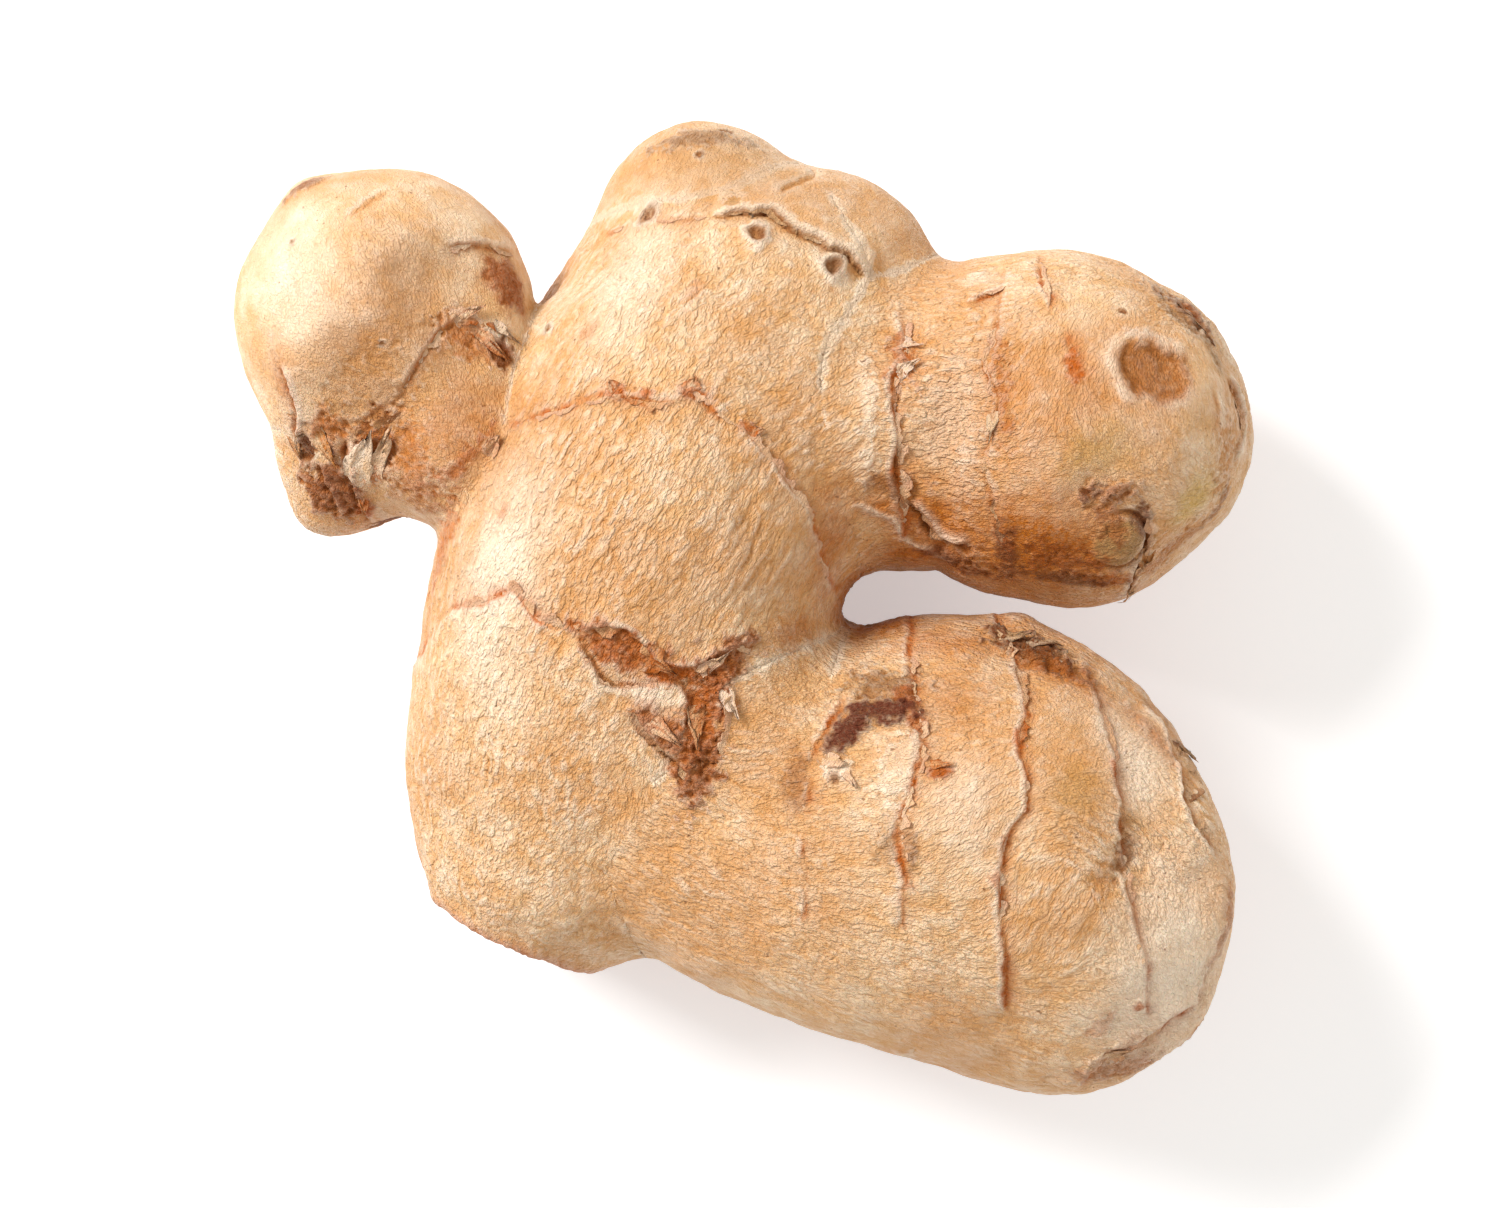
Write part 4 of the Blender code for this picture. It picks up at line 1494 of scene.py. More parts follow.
@dataclass(frozen=True)
class GingerSkin:
    """Thin tan skin: cream and tan in random tones, speckled, and stained where the mesh's attributes say,
    with painted shade along the wrinkles' valleys, in hollows and where it lies low, and painted highlight
    on crests.

    Attributes:
        tan, cream, valley: The clean skin, its ridges and its valleys, from 0 to 255 as all colours here.
            The valley colour is also painted shade in creases and hollows.
        rust, umber, purple, yellow, grey, pale: What the stains are painted with. Pale is also painted
            highlight on crests and on the lit flanks.
        shaded: Painted shade, on the skin low down and in the washes of painted shade.
        roughness: How dull the skin is.
        bump: Depth of the relief that is too fine for the mesh, in m.
        crease, fibre: Spacing of the creases and of the fibres, in mm.
        stretch: How many times longer than apart they are.
    """

    tan: tuple[int, int, int] = (228, 182, 131)
    cream: tuple[int, int, int] = (240, 212, 178)
    valley: tuple[int, int, int] = (202, 132, 62)
    rust: tuple[int, int, int] = (186, 90, 16)
    umber: tuple[int, int, int] = (114, 54, 6)
    purple: tuple[int, int, int] = (98, 42, 26)
    yellow: tuple[int, int, int] = (218, 178, 100)
    grey: tuple[int, int, int] = (166, 126, 78)
    pale: tuple[int, int, int] = (248, 232, 211)
    # painted shade colour
    shaded: tuple[int, int, int] = (184, 104, 26)
    roughness: float = 0.52
    bump: float = 0.2 * MM
    crease: float = 0.9
    fibre: float = 0.34
    stretch: float = 2.0

    def make(self, name: str) -> bpy.types.Material:
        """Lays out the material.

        Args:
            name: The material's name.

        Returns:
            The material.
        """
        bench = NodeBench(name)
        place = bench.scaled(bench.node("ShaderNodeTexCoord").outputs["Object"], (1.0 / MM,) * 3)
        creping = bench.attribute("creping").outputs["Fac"]
        hollow = bench.attribute("hollow").outputs["Fac"]

        wrinkle, fibre = (self._along_wrinkles(bench, place, size) for size in (self.crease, self.fibre))
        crackle = bench.noise(place, 0.5, 3.0, 0.65)
        mottle = bench.noise(place, 3.4, 4.0, 0.6)
        broad = bench.noise(place, 15.0, 2.0, 0.5)

        crease = bench.math("ABSOLUTE", bench.math("SUBTRACT", wrinkle, 0.5))
        thread = bench.math("ABSOLUTE", bench.math("SUBTRACT", fibre, 0.5))
        colour = bench.mix(bench.ramp(mottle, 0.34, 0.68), tint(*self.tan), tint(*self.cream))
        colour = bench.mix(bench.ramp(broad, 0.60, 0.36, 0.45), colour, tint(*self.valley))
        # painted shade: the valley colour laid along the fine creases and fibres
        crease_shade = bench.math("ADD", bench.ramp(crease, 0.085, 0.0, 0.34), bench.ramp(thread, 0.07, 0.0, 0.2))
        crease_shade = bench.math("MULTIPLY", crease_shade, bench.ramp(creping, 0.0, 1.0))
        colour = bench.mix(crease_shade, colour, tint(*self.valley))
        # painted shade in the mesh's hollows and painted highlight on its crests
        colour = bench.mix(bench.ramp(hollow, 0.52, 0.95, 0.6), colour, tint(*self.valley))
        colour = bench.mix(bench.ramp(hollow, 0.5, 0.2, 0.45), colour, tint(*self.pale))
        colour = bench.mix(bench.ramp(crackle, 0.6, 0.78, 0.3), colour, tint(*self.pale))
        colour = bench.mix(bench.ramp(crackle, 0.42, 0.24, 0.3), colour, tint(*self.valley))
        # painted shade: low-lying skin that faces sideways or down is mixed towards the shaded colour
        low = bench.math("MULTIPLY", bench.attribute("low").outputs["Fac"], 0.9)
        colour = bench.mix(low, colour, tint(*self.shaded))
        colour = self._stained(bench, colour, place, mottle, crackle)

        depth = bench.math("MULTIPLY", creping, bench.ramp(crease, 0.0, 0.16))
        height = bench.math("ADD", depth, bench.math("MULTIPLY", bench.ramp(thread, 0.0, 0.14), 0.45))
        height = bench.math("ADD", height, bench.math("MULTIPLY", crackle, 0.5))
        bump = bench.node("ShaderNodeBump", Height=height, Strength=1.0, Distance=self.bump)
        gloss = bench.ramp(mottle, 0.3, 0.7, 0.16)
        shader = bench.node(
            "ShaderNodeBsdfPrincipled",
            Base_Color=colour,
            Roughness=bench.math("SUBTRACT", self.roughness + 0.08, gloss),
            Normal=bump.outputs["Normal"],
            Specular_IOR_Level=0.35,
            Specular_Tint=(1.0, 0.74, 0.46, 1.0),
            Subsurface_Weight=0.1,
            Subsurface_Scale=1.4 * MM,
            Subsurface_Radius=(1.0, 0.5, 0.25),
            Sheen_Weight=0.1,
            Sheen_Roughness=0.45,
            Sheen_Tint=(1.0, 0.8, 0.58, 1.0),
        )
        bench.plug(bench.output.inputs["Surface"], shader.outputs["BSDF"])
        return bench.material

    def _along_wrinkles(self, bench: NodeBench, place: Socket, size: float) -> Socket:
        """Noise drawn out along the wrinkles, mixed by how much they run each way. Around its middle, 0.5,
        it is evened out as in combed: 0.5 + sum(w (n - 0.5)) / sqrt(sum(w^2)).

        Args:
            bench: The material's nodes.
            place: The place on the piece, in mm.
            size: How far apart the noise's lumps are across the wrinkles, in mm.

        Returns:
            The mixed noise.
        """
        total, squares = 0.0, 1e-4
        for way in WAYS:
            share = bench.attribute(way_name(way)).outputs["Fac"]
            turned = bench.node("ShaderNodeVectorRotate", Vector=place, Axis=(0.0, 0.0, 1.0),
                                Angle=math.radians(-way))
            drawn = bench.scaled(turned.outputs["Vector"], (1.0 / self.stretch, 1.0, 1.0))
            field = bench.math("SUBTRACT", bench.noise(drawn, size, 2.0, 0.55), 0.5)
            total = bench.math("ADD", total, bench.math("MULTIPLY", field, share))
            squares = bench.math("ADD", squares, bench.math("MULTIPLY", share, share))
        return bench.math("ADD", bench.math("DIVIDE", total, bench.math("SQRT", squares)), 0.5)

    def _stained(
        self,
        bench: NodeBench,
        colour: Socket,
        place: Socket,
        mottle: Socket,
        crackle: Socket,
    ) -> Socket:
        """Lays the stains, the freckles and the specks over the colour. Among the stains are washes of
        painted shade and of painted highlight.

        Each stain's share is its attribute, broken up by the finest field: attribute * (0.42 + 1.1 * fine).

        Args:
            bench: The material's nodes.
            colour: The clean skin's colour.
            place: The place on the piece, in mm.
            mottle: A field with lumps of a few mm.
            crackle: A field with lumps of half a mm.

        Returns:
            The stained colour.
        """
        broken = bench.math("ADD", bench.math("MULTIPLY", crackle, 1.1), 0.42)
        for stain, paint in (
            # painted shade: the shade washes are laid in the shaded colour
            (Stain.PAINTED_SHADE, self.shaded),
            (Stain.PALE, self.pale),
            (Stain.YELLOW, self.yellow),
            (Stain.GREY, self.grey),
            (Stain.RUST, self.rust),
            (Stain.UMBER, self.umber),
            (Stain.PURPLE, self.purple),
        ):
            share = bench.math("MULTIPLY", bench.attribute(stain.value).outputs["Fac"], broken, clamp=True)
            colour = bench.mix(share, colour, tint(*paint))
        freckle = bench.ramp(bench.noise(place, 1.7, 3.0, 0.6), 0.62, 0.76, 0.5)
        freckle = bench.math("MULTIPLY", freckle, bench.ramp(mottle, 0.6, 0.4))
        colour = bench.mix(freckle, colour, tint(*self.rust))
        speck = bench.ramp(bench.noise(place, 0.62, 1.0, 0.5), 0.72, 0.8, 0.6)
        return bench.mix(speck, colour, tint(*self.umber))


# --- Meshes ---


def read_points(mesh: bpy.types.Mesh) -> Floats:
    """The mesh's points, in mm, as an N by 3 array."""
    flat = np.empty(len(mesh.vertices) * 3, np.float32)
    mesh.vertices.foreach_get("co", flat)
    return flat.reshape(-1, 3).astype(float) / MM


def write_points(mesh: bpy.types.Mesh, points: Floats) -> None:
    """Puts points, in mm, into the mesh."""
    mesh.vertices.foreach_set("co", (points * MM).astype(np.float32).ravel())
    mesh.update()


def read_normals(mesh: bpy.types.Mesh) -> Floats:
    """The directions that the mesh's points face, as an N by 3 array."""
    flat = np.empty(len(mesh.vertices) * 3, np.float32)
    mesh.vertex_normals.foreach_get("vector", flat)
    return flat.reshape(-1, 3).astype(float)


def write_field(mesh: bpy.types.Mesh, name: str, values: Floats) -> None:
    """Stores one number for each point, under a name that a material reads."""
    attribute = mesh.attributes.new(name, "FLOAT", "POINT")
    attribute.data.foreach_set("value", values.astype(np.float32))


def new_piece(name: str, points: Floats, faces: Indices) -> bpy.types.Object:
    """Makes a piece, closes its open ends and turns its faces outwards.

    Args:
        name: The piece's name.
        points: An N by 3 array, in mm.
        faces: Each face's corners, as places in points.

    Returns:
        The piece.
    """
    mesh = bpy.data.meshes.new(name)
    mesh.from_pydata((points * MM).tolist(), [], faces.tolist())
    shape = bmesh.new()
    shape.from_mesh(mesh)
    bmesh.ops.holes_fill(shape, edges=shape.edges[:])
    bmesh.ops.recalc_face_normals(shape, faces=shape.faces[:])
    shape.to_mesh(mesh)
    shape.free()
    piece = bpy.data.objects.new(name, mesh)
    bpy.context.scene.collection.objects.link(piece)
    return piece


def apply_modifiers(piece: bpy.types.Object) -> None:
    """Replaces the piece's mesh by the one that its modifiers make.

    Args:
        piece: The piece, which is left without modifiers.
    """
    graph = bpy.context.evaluated_depsgraph_get()
    made = bpy.data.meshes.new_from_object(piece.evaluated_get(graph))
    piece.modifiers.clear()
    old, piece.data = piece.data, made
    bpy.data.meshes.remove(old)


def neighbour_mean(mesh: bpy.types.Mesh, values: Floats, passes: int) -> Floats:
    """Replaces each point's numbers by the mean of its neighbours' and its own, this many times.

    Args:
        mesh: The mesh whose edges say which points are neighbours.
        values: An N by K array.
        passes: How often.

    Returns:
        The smoothed numbers.
    """
    ends = np.empty(len(mesh.edges) * 2, np.int32)
    mesh.edges.foreach_get("vertices", ends)
    first, second = ends.reshape(-1, 2).T
    count = 1.0 + np.bincount(first, minlength=len(values)) + np.bincount(second, minlength=len(values))
    for _ in range(passes):
        columns = [
            column
            + np.bincount(first, column[second], len(values))
            + np.bincount(second, column[first], len(values))
            for column in values.T
        ]
        values = np.stack(columns, axis=1) / count[:, None]
    return values


# --- The root ---


@dataclass(frozen=True)
class Pull:
    """A place where the outline is drawn out or pressed in, before any skin detail."""

    place: Point3
    radius: float
    push: Point3

    def draw(self, points: Floats) -> Floats:
        """Moves the points by push * exp(-(distance / radius)^2)."""
        distance = np.linalg.norm(points - np.array(self.place), axis=1)
        return points + bell(distance, self.radius)[:, None] * np.array(self.push)


@dataclass(frozen=True)
class Facet:
    """A flattened side of a finger: what stands out past a plane is pressed back towards it.

    Attributes:
        place: A point on the plane, in the middle of the facet, in mm.
        outward: The facet's outward direction.
        radius: How far the facet reaches, in mm.
        soft: How round the facet stays, in mm.
    """

    place: Point3
    outward: Point3
    radius: float
    soft: float = 0.5

    def draw(self, points: Floats) -> Floats:
        """A point that is d past the plane keeps soft * (1 - exp(-d / soft)) of it, and the change is faded
        by exp(-(distance / radius)^4).

        Args:
            points: An N by 3 array.

        Returns:
            The changed points.
        """
        way = np.array(self.outward) / np.linalg.norm(self.outward)
        away = points - np.array(self.place)
        past = np.maximum(away @ way, 0.0)
        share = np.exp(-((np.linalg.norm(away, axis=1) / self.radius) ** 4))
        back = past - self.soft * (1.0 - np.exp(-past / self.soft))
        return points - (share * back)[:, None] * way


SHAPING = (
    Facet((-43.6, 32.6, 34.8), (-0.40, 0.20, 0.89), 13.0),
    Facet((-31.8, 30.6, 34.4), (0.48, 0.04, 0.88), 11.0),
    Facet((-39.0, 21.8, 33.2), (-0.05, -0.46, 0.88), 9.0),
    Facet((36.6, 12.4, 34.2), (0.16, -0.34, 0.93), 13.0),
    Facet((46.4, 6.6, 22.0), (0.62, -0.72, 0.30), 9.0),
    Facet((36.0, -30.0, 36.0), (0.10, -0.06, 0.99), 15.0, 0.9),
    Facet((20.0, -9.0, 33.6), (0.0, 0.34, 0.94), 10.0, 0.8),
    Pull((-46.4, 42.6, 24.0), 4.0, (-0.5, 1.4, 0.0)),
    Pull((50.6, 16.0, 20.0), 3.5, (0.8, 0.2, 0.0)),
    Pull((28.6, -1.6, 20.0), 3.0, (0.2, 1.0, 0.3)),
    Pull((45.4, -43.2, 14.0), 3.6, (1.0, -0.8, 0.0)),
    Pull((-20.8, 32.6, 22.0), 3.4, (0.0, -3.2, 0.0)),
    Pull((48.0, -21.0, 24.0), 8.0, (0.0, 0.0, 4.0)),
    Pull((49.0, -32.0, 22.0), 9.0, (0.0, 0.0, 6.0)),
    Pull((47.5, -43.0, 18.0), 8.0, (0.0, 0.0, 7.0)),
    Pull((38.0, -48.0, 18.0), 7.0, (0.0, 0.0, 5.0)),
    Pull((-44.6, 8.6, 20.0), 4.0, (-0.8, -1.0, 0.0)),
)


@dataclass
class Rhizome:
    """The whole root in one skin, wrinkled, ringed and stained.

    Attributes:
        name: The piece's name.
        voxel: Size of the faces the skin starts with, in mm.
        quick_voxel: The same while trying things. Not used.
        triangles: How many triangles the finished skin may have.
        settle_steps: How often the skin is drawn onto the fingers' joined field.
        lay_passes: How often the wrinkles' direction is evened out with its neighbours.
        fine, fine_depth: Spacing and depth of the finest wrinkles, in mm.
        fold, fold_depth: The same of the wider ones.
        valley: How wide a wrinkle is against the flat skin between, as a share of the noise.
        stretch: How many times longer than apart the wrinkles are.
        lumps: Height of the broad unevenness, in mm.
        under_share: Share of the triangles that the underside keeps before all are thinned.
    """

    name: str = "ginger_root"
    voxel: float = 0.31
    quick_voxel: float = 0.6
    triangles: int = 196_000
    settle_steps: int = 5
    lay_passes: int = 60
    fine: float = 0.95
    fine_depth: float = 0.11
    fold: float = 2.0
    fold_depth: float = 0.1
    valley: float = 0.16
    stretch: float = 4.2
    lumps: float = 0.6
    under_share: float = 0.25

    def build(self) -> bpy.types.Object:
        """Makes the piece: rough skin, settled shape, marks, wrinkles, then fewer triangles.

        Returns:
            The piece, with the attributes its finish reads.
        """
        root = self._rough_skin()
        points, shift = self._settle(root)
        canvas = Canvas(points, read_normals(root.data), blend_fingers(points, shift))
        self._draw_marks(canvas)
        shares = way_shares(neighbour_mean(root.data, canvas.lay, self.lay_passes))
        self._add_relief(canvas, shares)
        points = points + canvas.height[:, None] * canvas.normals
        points[:, 2] = np.maximum(points[:, 2], 0.0)
        write_points(root.data, points)
        self._store_fields(root.data, canvas, shares)
        self._thin(root)
        root.data.polygons.foreach_set("use_smooth", np.ones(len(root.data.polygons), bool))
        up = np.count_nonzero(read_normals(root.data)[:, 2] > 0.0)
        log.info("%s: %d triangles, %d of %d corners on top", self.name, len(root.data.polygons), up,
                 len(root.data.vertices))
        return root

    def _rough_skin(self) -> bpy.types.Object:
        """Every finger's own surface, joined by a fine even mesh round the lot."""
        skins = [growth.value.skin() for growth in Growth]
        starts = np.cumsum([0] + [len(points) for points, _ in skins[:-1]])
        points = np.vstack([points for points, _ in skins])
        faces = np.vstack([faces + start for (_, faces), start in zip(skins, starts)])
        root = new_piece(self.name, points, faces)
        remesh = root.modifiers.new("one skin", "REMESH")
        remesh.mode = "VOXEL"
        remesh.voxel_size = self.voxel * MM
        apply_modifiers(root)
        return root

    def _settle(self, root: bpy.types.Object) -> tuple[Floats, Floats]:
        """Moves the skin onto the fingers' joined field, by its distance along the skin's own directions,
        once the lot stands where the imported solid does.

        Args:
            root: The piece, with its rough skin.

        Returns:
            The settled points, and how far the fingers' stations were moved.
        """
        low, high = (np.array(corner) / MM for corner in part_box(NODE))
        points = read_points(root.data)
        shift = 0.5 * (low + high) - 0.5 * (points.min(axis=0) + points.max(axis=0))
        shift[2] = 0.0
        points = points + shift
        for _ in range(self.settle_steps):
            write_points(root.data, points)
            distance = np.clip(blend_fingers(points, shift).distance, -1.2, 1.2)
            points = points - distance[:, None] * read_normals(root.data)
        for change in SHAPING:
            points = change.draw(points)
        write_points(root.data, points)
        points = neighbour_mean(root.data, points, 2)
        write_points(root.data, points)
        return points, shift

    def _draw_marks(self, canvas: Canvas) -> None:
        """Puts every scar, ring, crack and patch on the skin, the broad ones first."""
        for mark in MARKS:
            mark.draw(canvas)

    def _add_relief(self, canvas: Canvas, shares: Floats) -> None:
        """Adds the lumps, as noise of 13, 5 and 2.6 mm, and the wrinkles, as depth * tanh(|noise| / valley)
        at two sizes, with the noise drawn out along the way the wrinkles run, on points that meander.

        Args:
            canvas: The skin. Its height grows.
            shares: Each way's share of the wrinkles' direction.
        """
        points = canvas.points
        broad, sway, fine, fold = (GradientNoise(seed) for seed in (61, 62, 63, 64))
        for size, share in ((13.0, 1.0), (5.0, 0.55), (2.6, 0.3)):
            canvas.height += share * self.lumps * broad.at(points / size + size)
        drift = np.stack([sway.octaves(points / 4.5 + 11.0 * n, 2) for n in range(3)], axis=1)
        swayed = points + 0.8 * drift
        small = np.abs(combed(fine, swayed, self.fine, self.stretch, shares))
        wide = np.abs(combed(fold, swayed, self.fold, self.stretch, shares))
        relief = self.fine_depth * np.tanh(small / self.valley)
        relief += self.fold_depth * np.tanh(wide / self.valley)
        patchy = np.clip(1.0 + 0.9 * GradientNoise(65).at(points / 7.0), 0.4, 1.6)
        canvas.height += relief * canvas.creping * patchy

    @staticmethod
    def _store_fields(mesh: bpy.types.Mesh, canvas: Canvas, shares: Floats) -> None:
        """Stores what the finish reads: the stains, with the washes of painted shade among them, the
        creping, how hollow the skin is, which the finish paints as shade in hollows and highlight on
        crests, and how low it lies, which the finish paints as shade. Hollow is 0.5 + 4 * how far the
        neighbours' mean stands proud of the point, in mm.

        Args:
            mesh: The piece's mesh.
            canvas: The finished skin.
            shares: Each way's share of the wrinkles' direction.
        """
        points = read_points(mesh)
        normals = read_normals(mesh)
        passes = 6
        proud = np.einsum("ij,ij->i", neighbour_mean(mesh, points, passes) - points, normals)
        write_field(mesh, "hollow", np.clip(0.5 + 4.0 * proud, 0.0, 1.0))
        write_field(mesh, "creping", canvas.creping)
        # painted shade: skin that lies low and faces sideways or down is marked for the finish to darken
        low = smoothstep(27.0, 4.0, points[:, 2]) * smoothstep(0.8, -0.3, normals[:, 2])
        write_field(mesh, "low", low)
        for way, share in zip(WAYS, shares.T):
            write_field(mesh, way_name(way), share)
        for stain, amount in canvas.stains.items():
            write_field(mesh, stain.value, amount)

    def _thin(self, root: bpy.types.Object) -> None:
        """Joins triangles until there are few enough: first only under the root, then wherever the skin is
        smoothest. A corner that this leaves under the floor is set back on it.

        Args:
            root: The piece.
        """
        under = root.vertex_groups.new(name="under")
        normals = read_normals(root.data)
        below = np.flatnonzero(normals[:, 2] < -0.1)
        under.add(below.tolist(), 1.0, "REPLACE")
        spared = 1.0 - (1.0 - self.under_share) * len(below) / len(normals)
        self._decimate(root, spared, under.name)
        self._decimate(root, min(1.0, self.triangles / len(root.data.polygons)))
        root.vertex_groups.clear()
        points = read_points(root.data)
        points[:, 2] = np.maximum(points[:, 2], 0.0)
        write_points(root.data, points)

    @staticmethod
    def _decimate(root: bpy.types.Object, ratio: float, group: str = "") -> None:
        """Joins triangles by Blender's least change of shape.

        Args:
            root: The piece.
            ratio: The share of the triangles to keep.
            group: The vertex group that may change, or none for the whole piece.
        """
        thin = root.modifiers.new("fewer triangles", "DECIMATE")
        thin.ratio = ratio
        thin.use_collapse_triangulate = True
        thin.vertex_group = group
        apply_modifiers(root)


# --- Papery remains of the leaf scales ---


def ground_height(skin: Canvas, places: Floats, normal: Floats) -> Floats:
    """How far the skin stands above each place, along that place's normal: the mean of the skin points'
    heights h = (q - p).n, weighted by exp(-(g / 0.4)^2) with g the gap across the normal.

    Args:
        skin: The skin's points.
        places: An R by 3 array, near the skin.
        normal: One direction for each place.

    Returns:
        R heights, in mm.
    """
    reach = 2.5
    near = np.all(skin.points > places.min(axis=0) - reach, axis=1)
    near &= np.all(skin.points < places.max(axis=0) + reach, axis=1)
    points = skin.points[near]
    heights = np.zeros(len(places))
    for part in np.array_split(np.arange(len(places)), 1 + len(places) * len(points) // 3_000_000):
        height = normal[part] @ points.T - np.einsum("ij,ij->i", places[part], normal[part])[:, None]
        whole = ((places[part, None, :] - points[None, :, :]) ** 2).sum(axis=2)
        gap = np.maximum(whole - height**2, 0.0)
        weight = (np.exp(-gap / 0.4**2) + 1e-7 * np.exp(-gap / 1.2**2)) * (np.abs(height) < reach) + 1e-30
        heights[part] = (weight * height).sum(axis=1) / weight.sum(axis=1)
    return heights


def skin_at(skin: Canvas, plan: Floats, face: Face) -> tuple[Floats, Floats]:
    """The skin's points and directions over or under places in plan: the mean of the skin points that
    face that way, weighted by exp(-(gap / 0.5)^2).

    Args:
        skin: The skin's points and directions.
        plan: An R by 2 array.
        face: The side of the root.

    Returns:
        R points and R unit directions.
    """
    sign = face.value or 1
    near = np.all(skin.points[:, :2] > plan.min(axis=0) - 2.0, axis=1)
    near &= np.all(skin.points[:, :2] < plan.max(axis=0) + 2.0, axis=1)
    near &= skin.normals[:, 2] * sign > 0.02
    points, normals = skin.points[near], skin.normals[near]
    gap = ((plan[:, None, :] - points[None, :, :2]) ** 2).sum(axis=2)
    weight = np.exp(-gap / 0.5**2) + 1e-9 * np.exp(-gap / 1.5**2) + 1e-30
    weight /= weight.sum(axis=1, keepdims=True)
    normal = weight @ normals
    normal /= np.linalg.norm(normal, axis=1, keepdims=True)
    return np.column_stack([plan, weight @ points[:, 2]]), normal


@dataclass(frozen=True)
class Shell:
    """A closed sheet: its points, its faces and how strongly each point is stained with what."""

    points: Floats
    faces: Indices
    stains: dict[Stain, Floats]


def closed_sheet(middle: Floats, normals: Floats, thickness: Floats) -> tuple[Floats, Indices]:
    """Gives a sheet two sides and a rim: each grid point goes half its thickness out and half in.

    Args:
        middle: A rows by columns by 3 array of the sheet's middle.
        normals: The sheet's directions there.
        thickness: Its thickness there.

    Returns:
        The points and the four-cornered faces.
    """
    rows, columns = middle.shape[:2]
    half = 0.5 * thickness[..., None] * normals
    points = np.vstack([(middle + half).reshape(-1, 3), (middle - half).reshape(-1, 3)])
    row, column = np.meshgrid(np.arange(rows - 1), np.arange(columns - 1), indexing="ij")
    corner = (row * columns + column).ravel()
    top = np.stack([corner, corner + columns, corner + columns + 1, corner + 1], axis=1)
    count = rows * columns
    grid = np.arange(count).reshape(rows, columns)
    loop = np.concatenate([grid[0, :-1], grid[:-1, -1], grid[-1, :0:-1], grid[:0:-1, 0]])
    after = np.roll(loop, -1)
    rim = np.stack([loop, after, after + count, loop + count], axis=1)
    return points, np.vstack([top, top[:, ::-1] + count, rim])


@dataclass(frozen=True)
class Flake:
    """One thin curled scrap of leaf scale, rooted in the skin along one edge.

    Attributes:
        place: Where its root is in plan, in mm.
        turn: The direction from its root to its tip in plan, in degrees from +X.
        length: From root to tip, in mm.
        breadth: Half its width at the root, in mm.
        lift: How far its tip stands off the skin, in mm.
        stains: How strongly it is stained with what.
        face: The side of the root.
    """

    place: Point2
    turn: float
    length: float
    breadth: float
    lift: float
    stains: Stains = stained(rust=0.4)
    face: Face = Face.TOP

    ROWS = 15
    COLUMNS = 13
    THICKNESS = 0.12

    def shell(self, skin: Canvas) -> Shell:
        """The scrap as a closed sheet.

        With u from 0 at the root to 1 at the tip and v from -1 to 1 across, a point is length * u ahead and
        breadth * (1 - 0.92 u^1.8) * v aside, at the skin's height plus lift * (u^1.6 + 0.35 v^2 u), all
        roughened by noise.

        Args:
            skin: The finished skin's points and directions.

        Returns:
            The sheet.
        """
        centre, normal = (rows[0] for rows in skin_at(skin, np.array([self.place]), self.face))
        heading = np.array([math.cos(math.radians(self.turn)), math.sin(math.radians(self.turn)), 0.0])
        ahead = heading - normal * (heading @ normal)
        ahead /= np.linalg.norm(ahead)
        aside = np.cross(normal, ahead)
        u, v = np.meshgrid(np.linspace(0, 1, self.ROWS), np.linspace(-1, 1, self.COLUMNS), indexing="ij")
        torn = GradientNoise(int(abs(self.place[0] * 13 + self.place[1] * 7)) % 991)
        places = np.stack([v * 1.9, u * 1.3, v * 0.0], axis=-1).reshape(-1, 3)
        rim = torn.octaves(places, 3, 0.7).reshape(u.shape)
        along = self.length * u * (1.0 + 0.6 * rim * u)
        across = self.breadth * (1.0 - 0.92 * u**1.8) * v * (1.0 + 0.7 * rim)
        flat = centre + along[..., None] * ahead + across[..., None] * aside
        normals = np.broadcast_to(normal, flat.shape)
        ground = ground_height(skin, flat.reshape(-1, 3), normals.reshape(-1, 3)).reshape(u.shape)
        crumple = 0.25 * torn.at(flat.reshape(-1, 3) / 0.8).reshape(u.shape)
        height = ground + self.lift * (u**1.6 + 0.35 * v**2 * u + crumple * u) - 0.1 * (1.0 - u)
        middle = flat + height[..., None] * normal
        thinning = 1.0 - 0.6 * np.maximum(np.abs(v), u) ** 4
        points, faces = closed_sheet(middle, normals, self.THICKNESS * thinning)
        share = np.tile(np.clip(0.75 + 1.2 * rim.ravel(), 0.2, 1.2), 2)
        return Shell(points, faces, {stain: amount * share for stain, amount in self.stains})


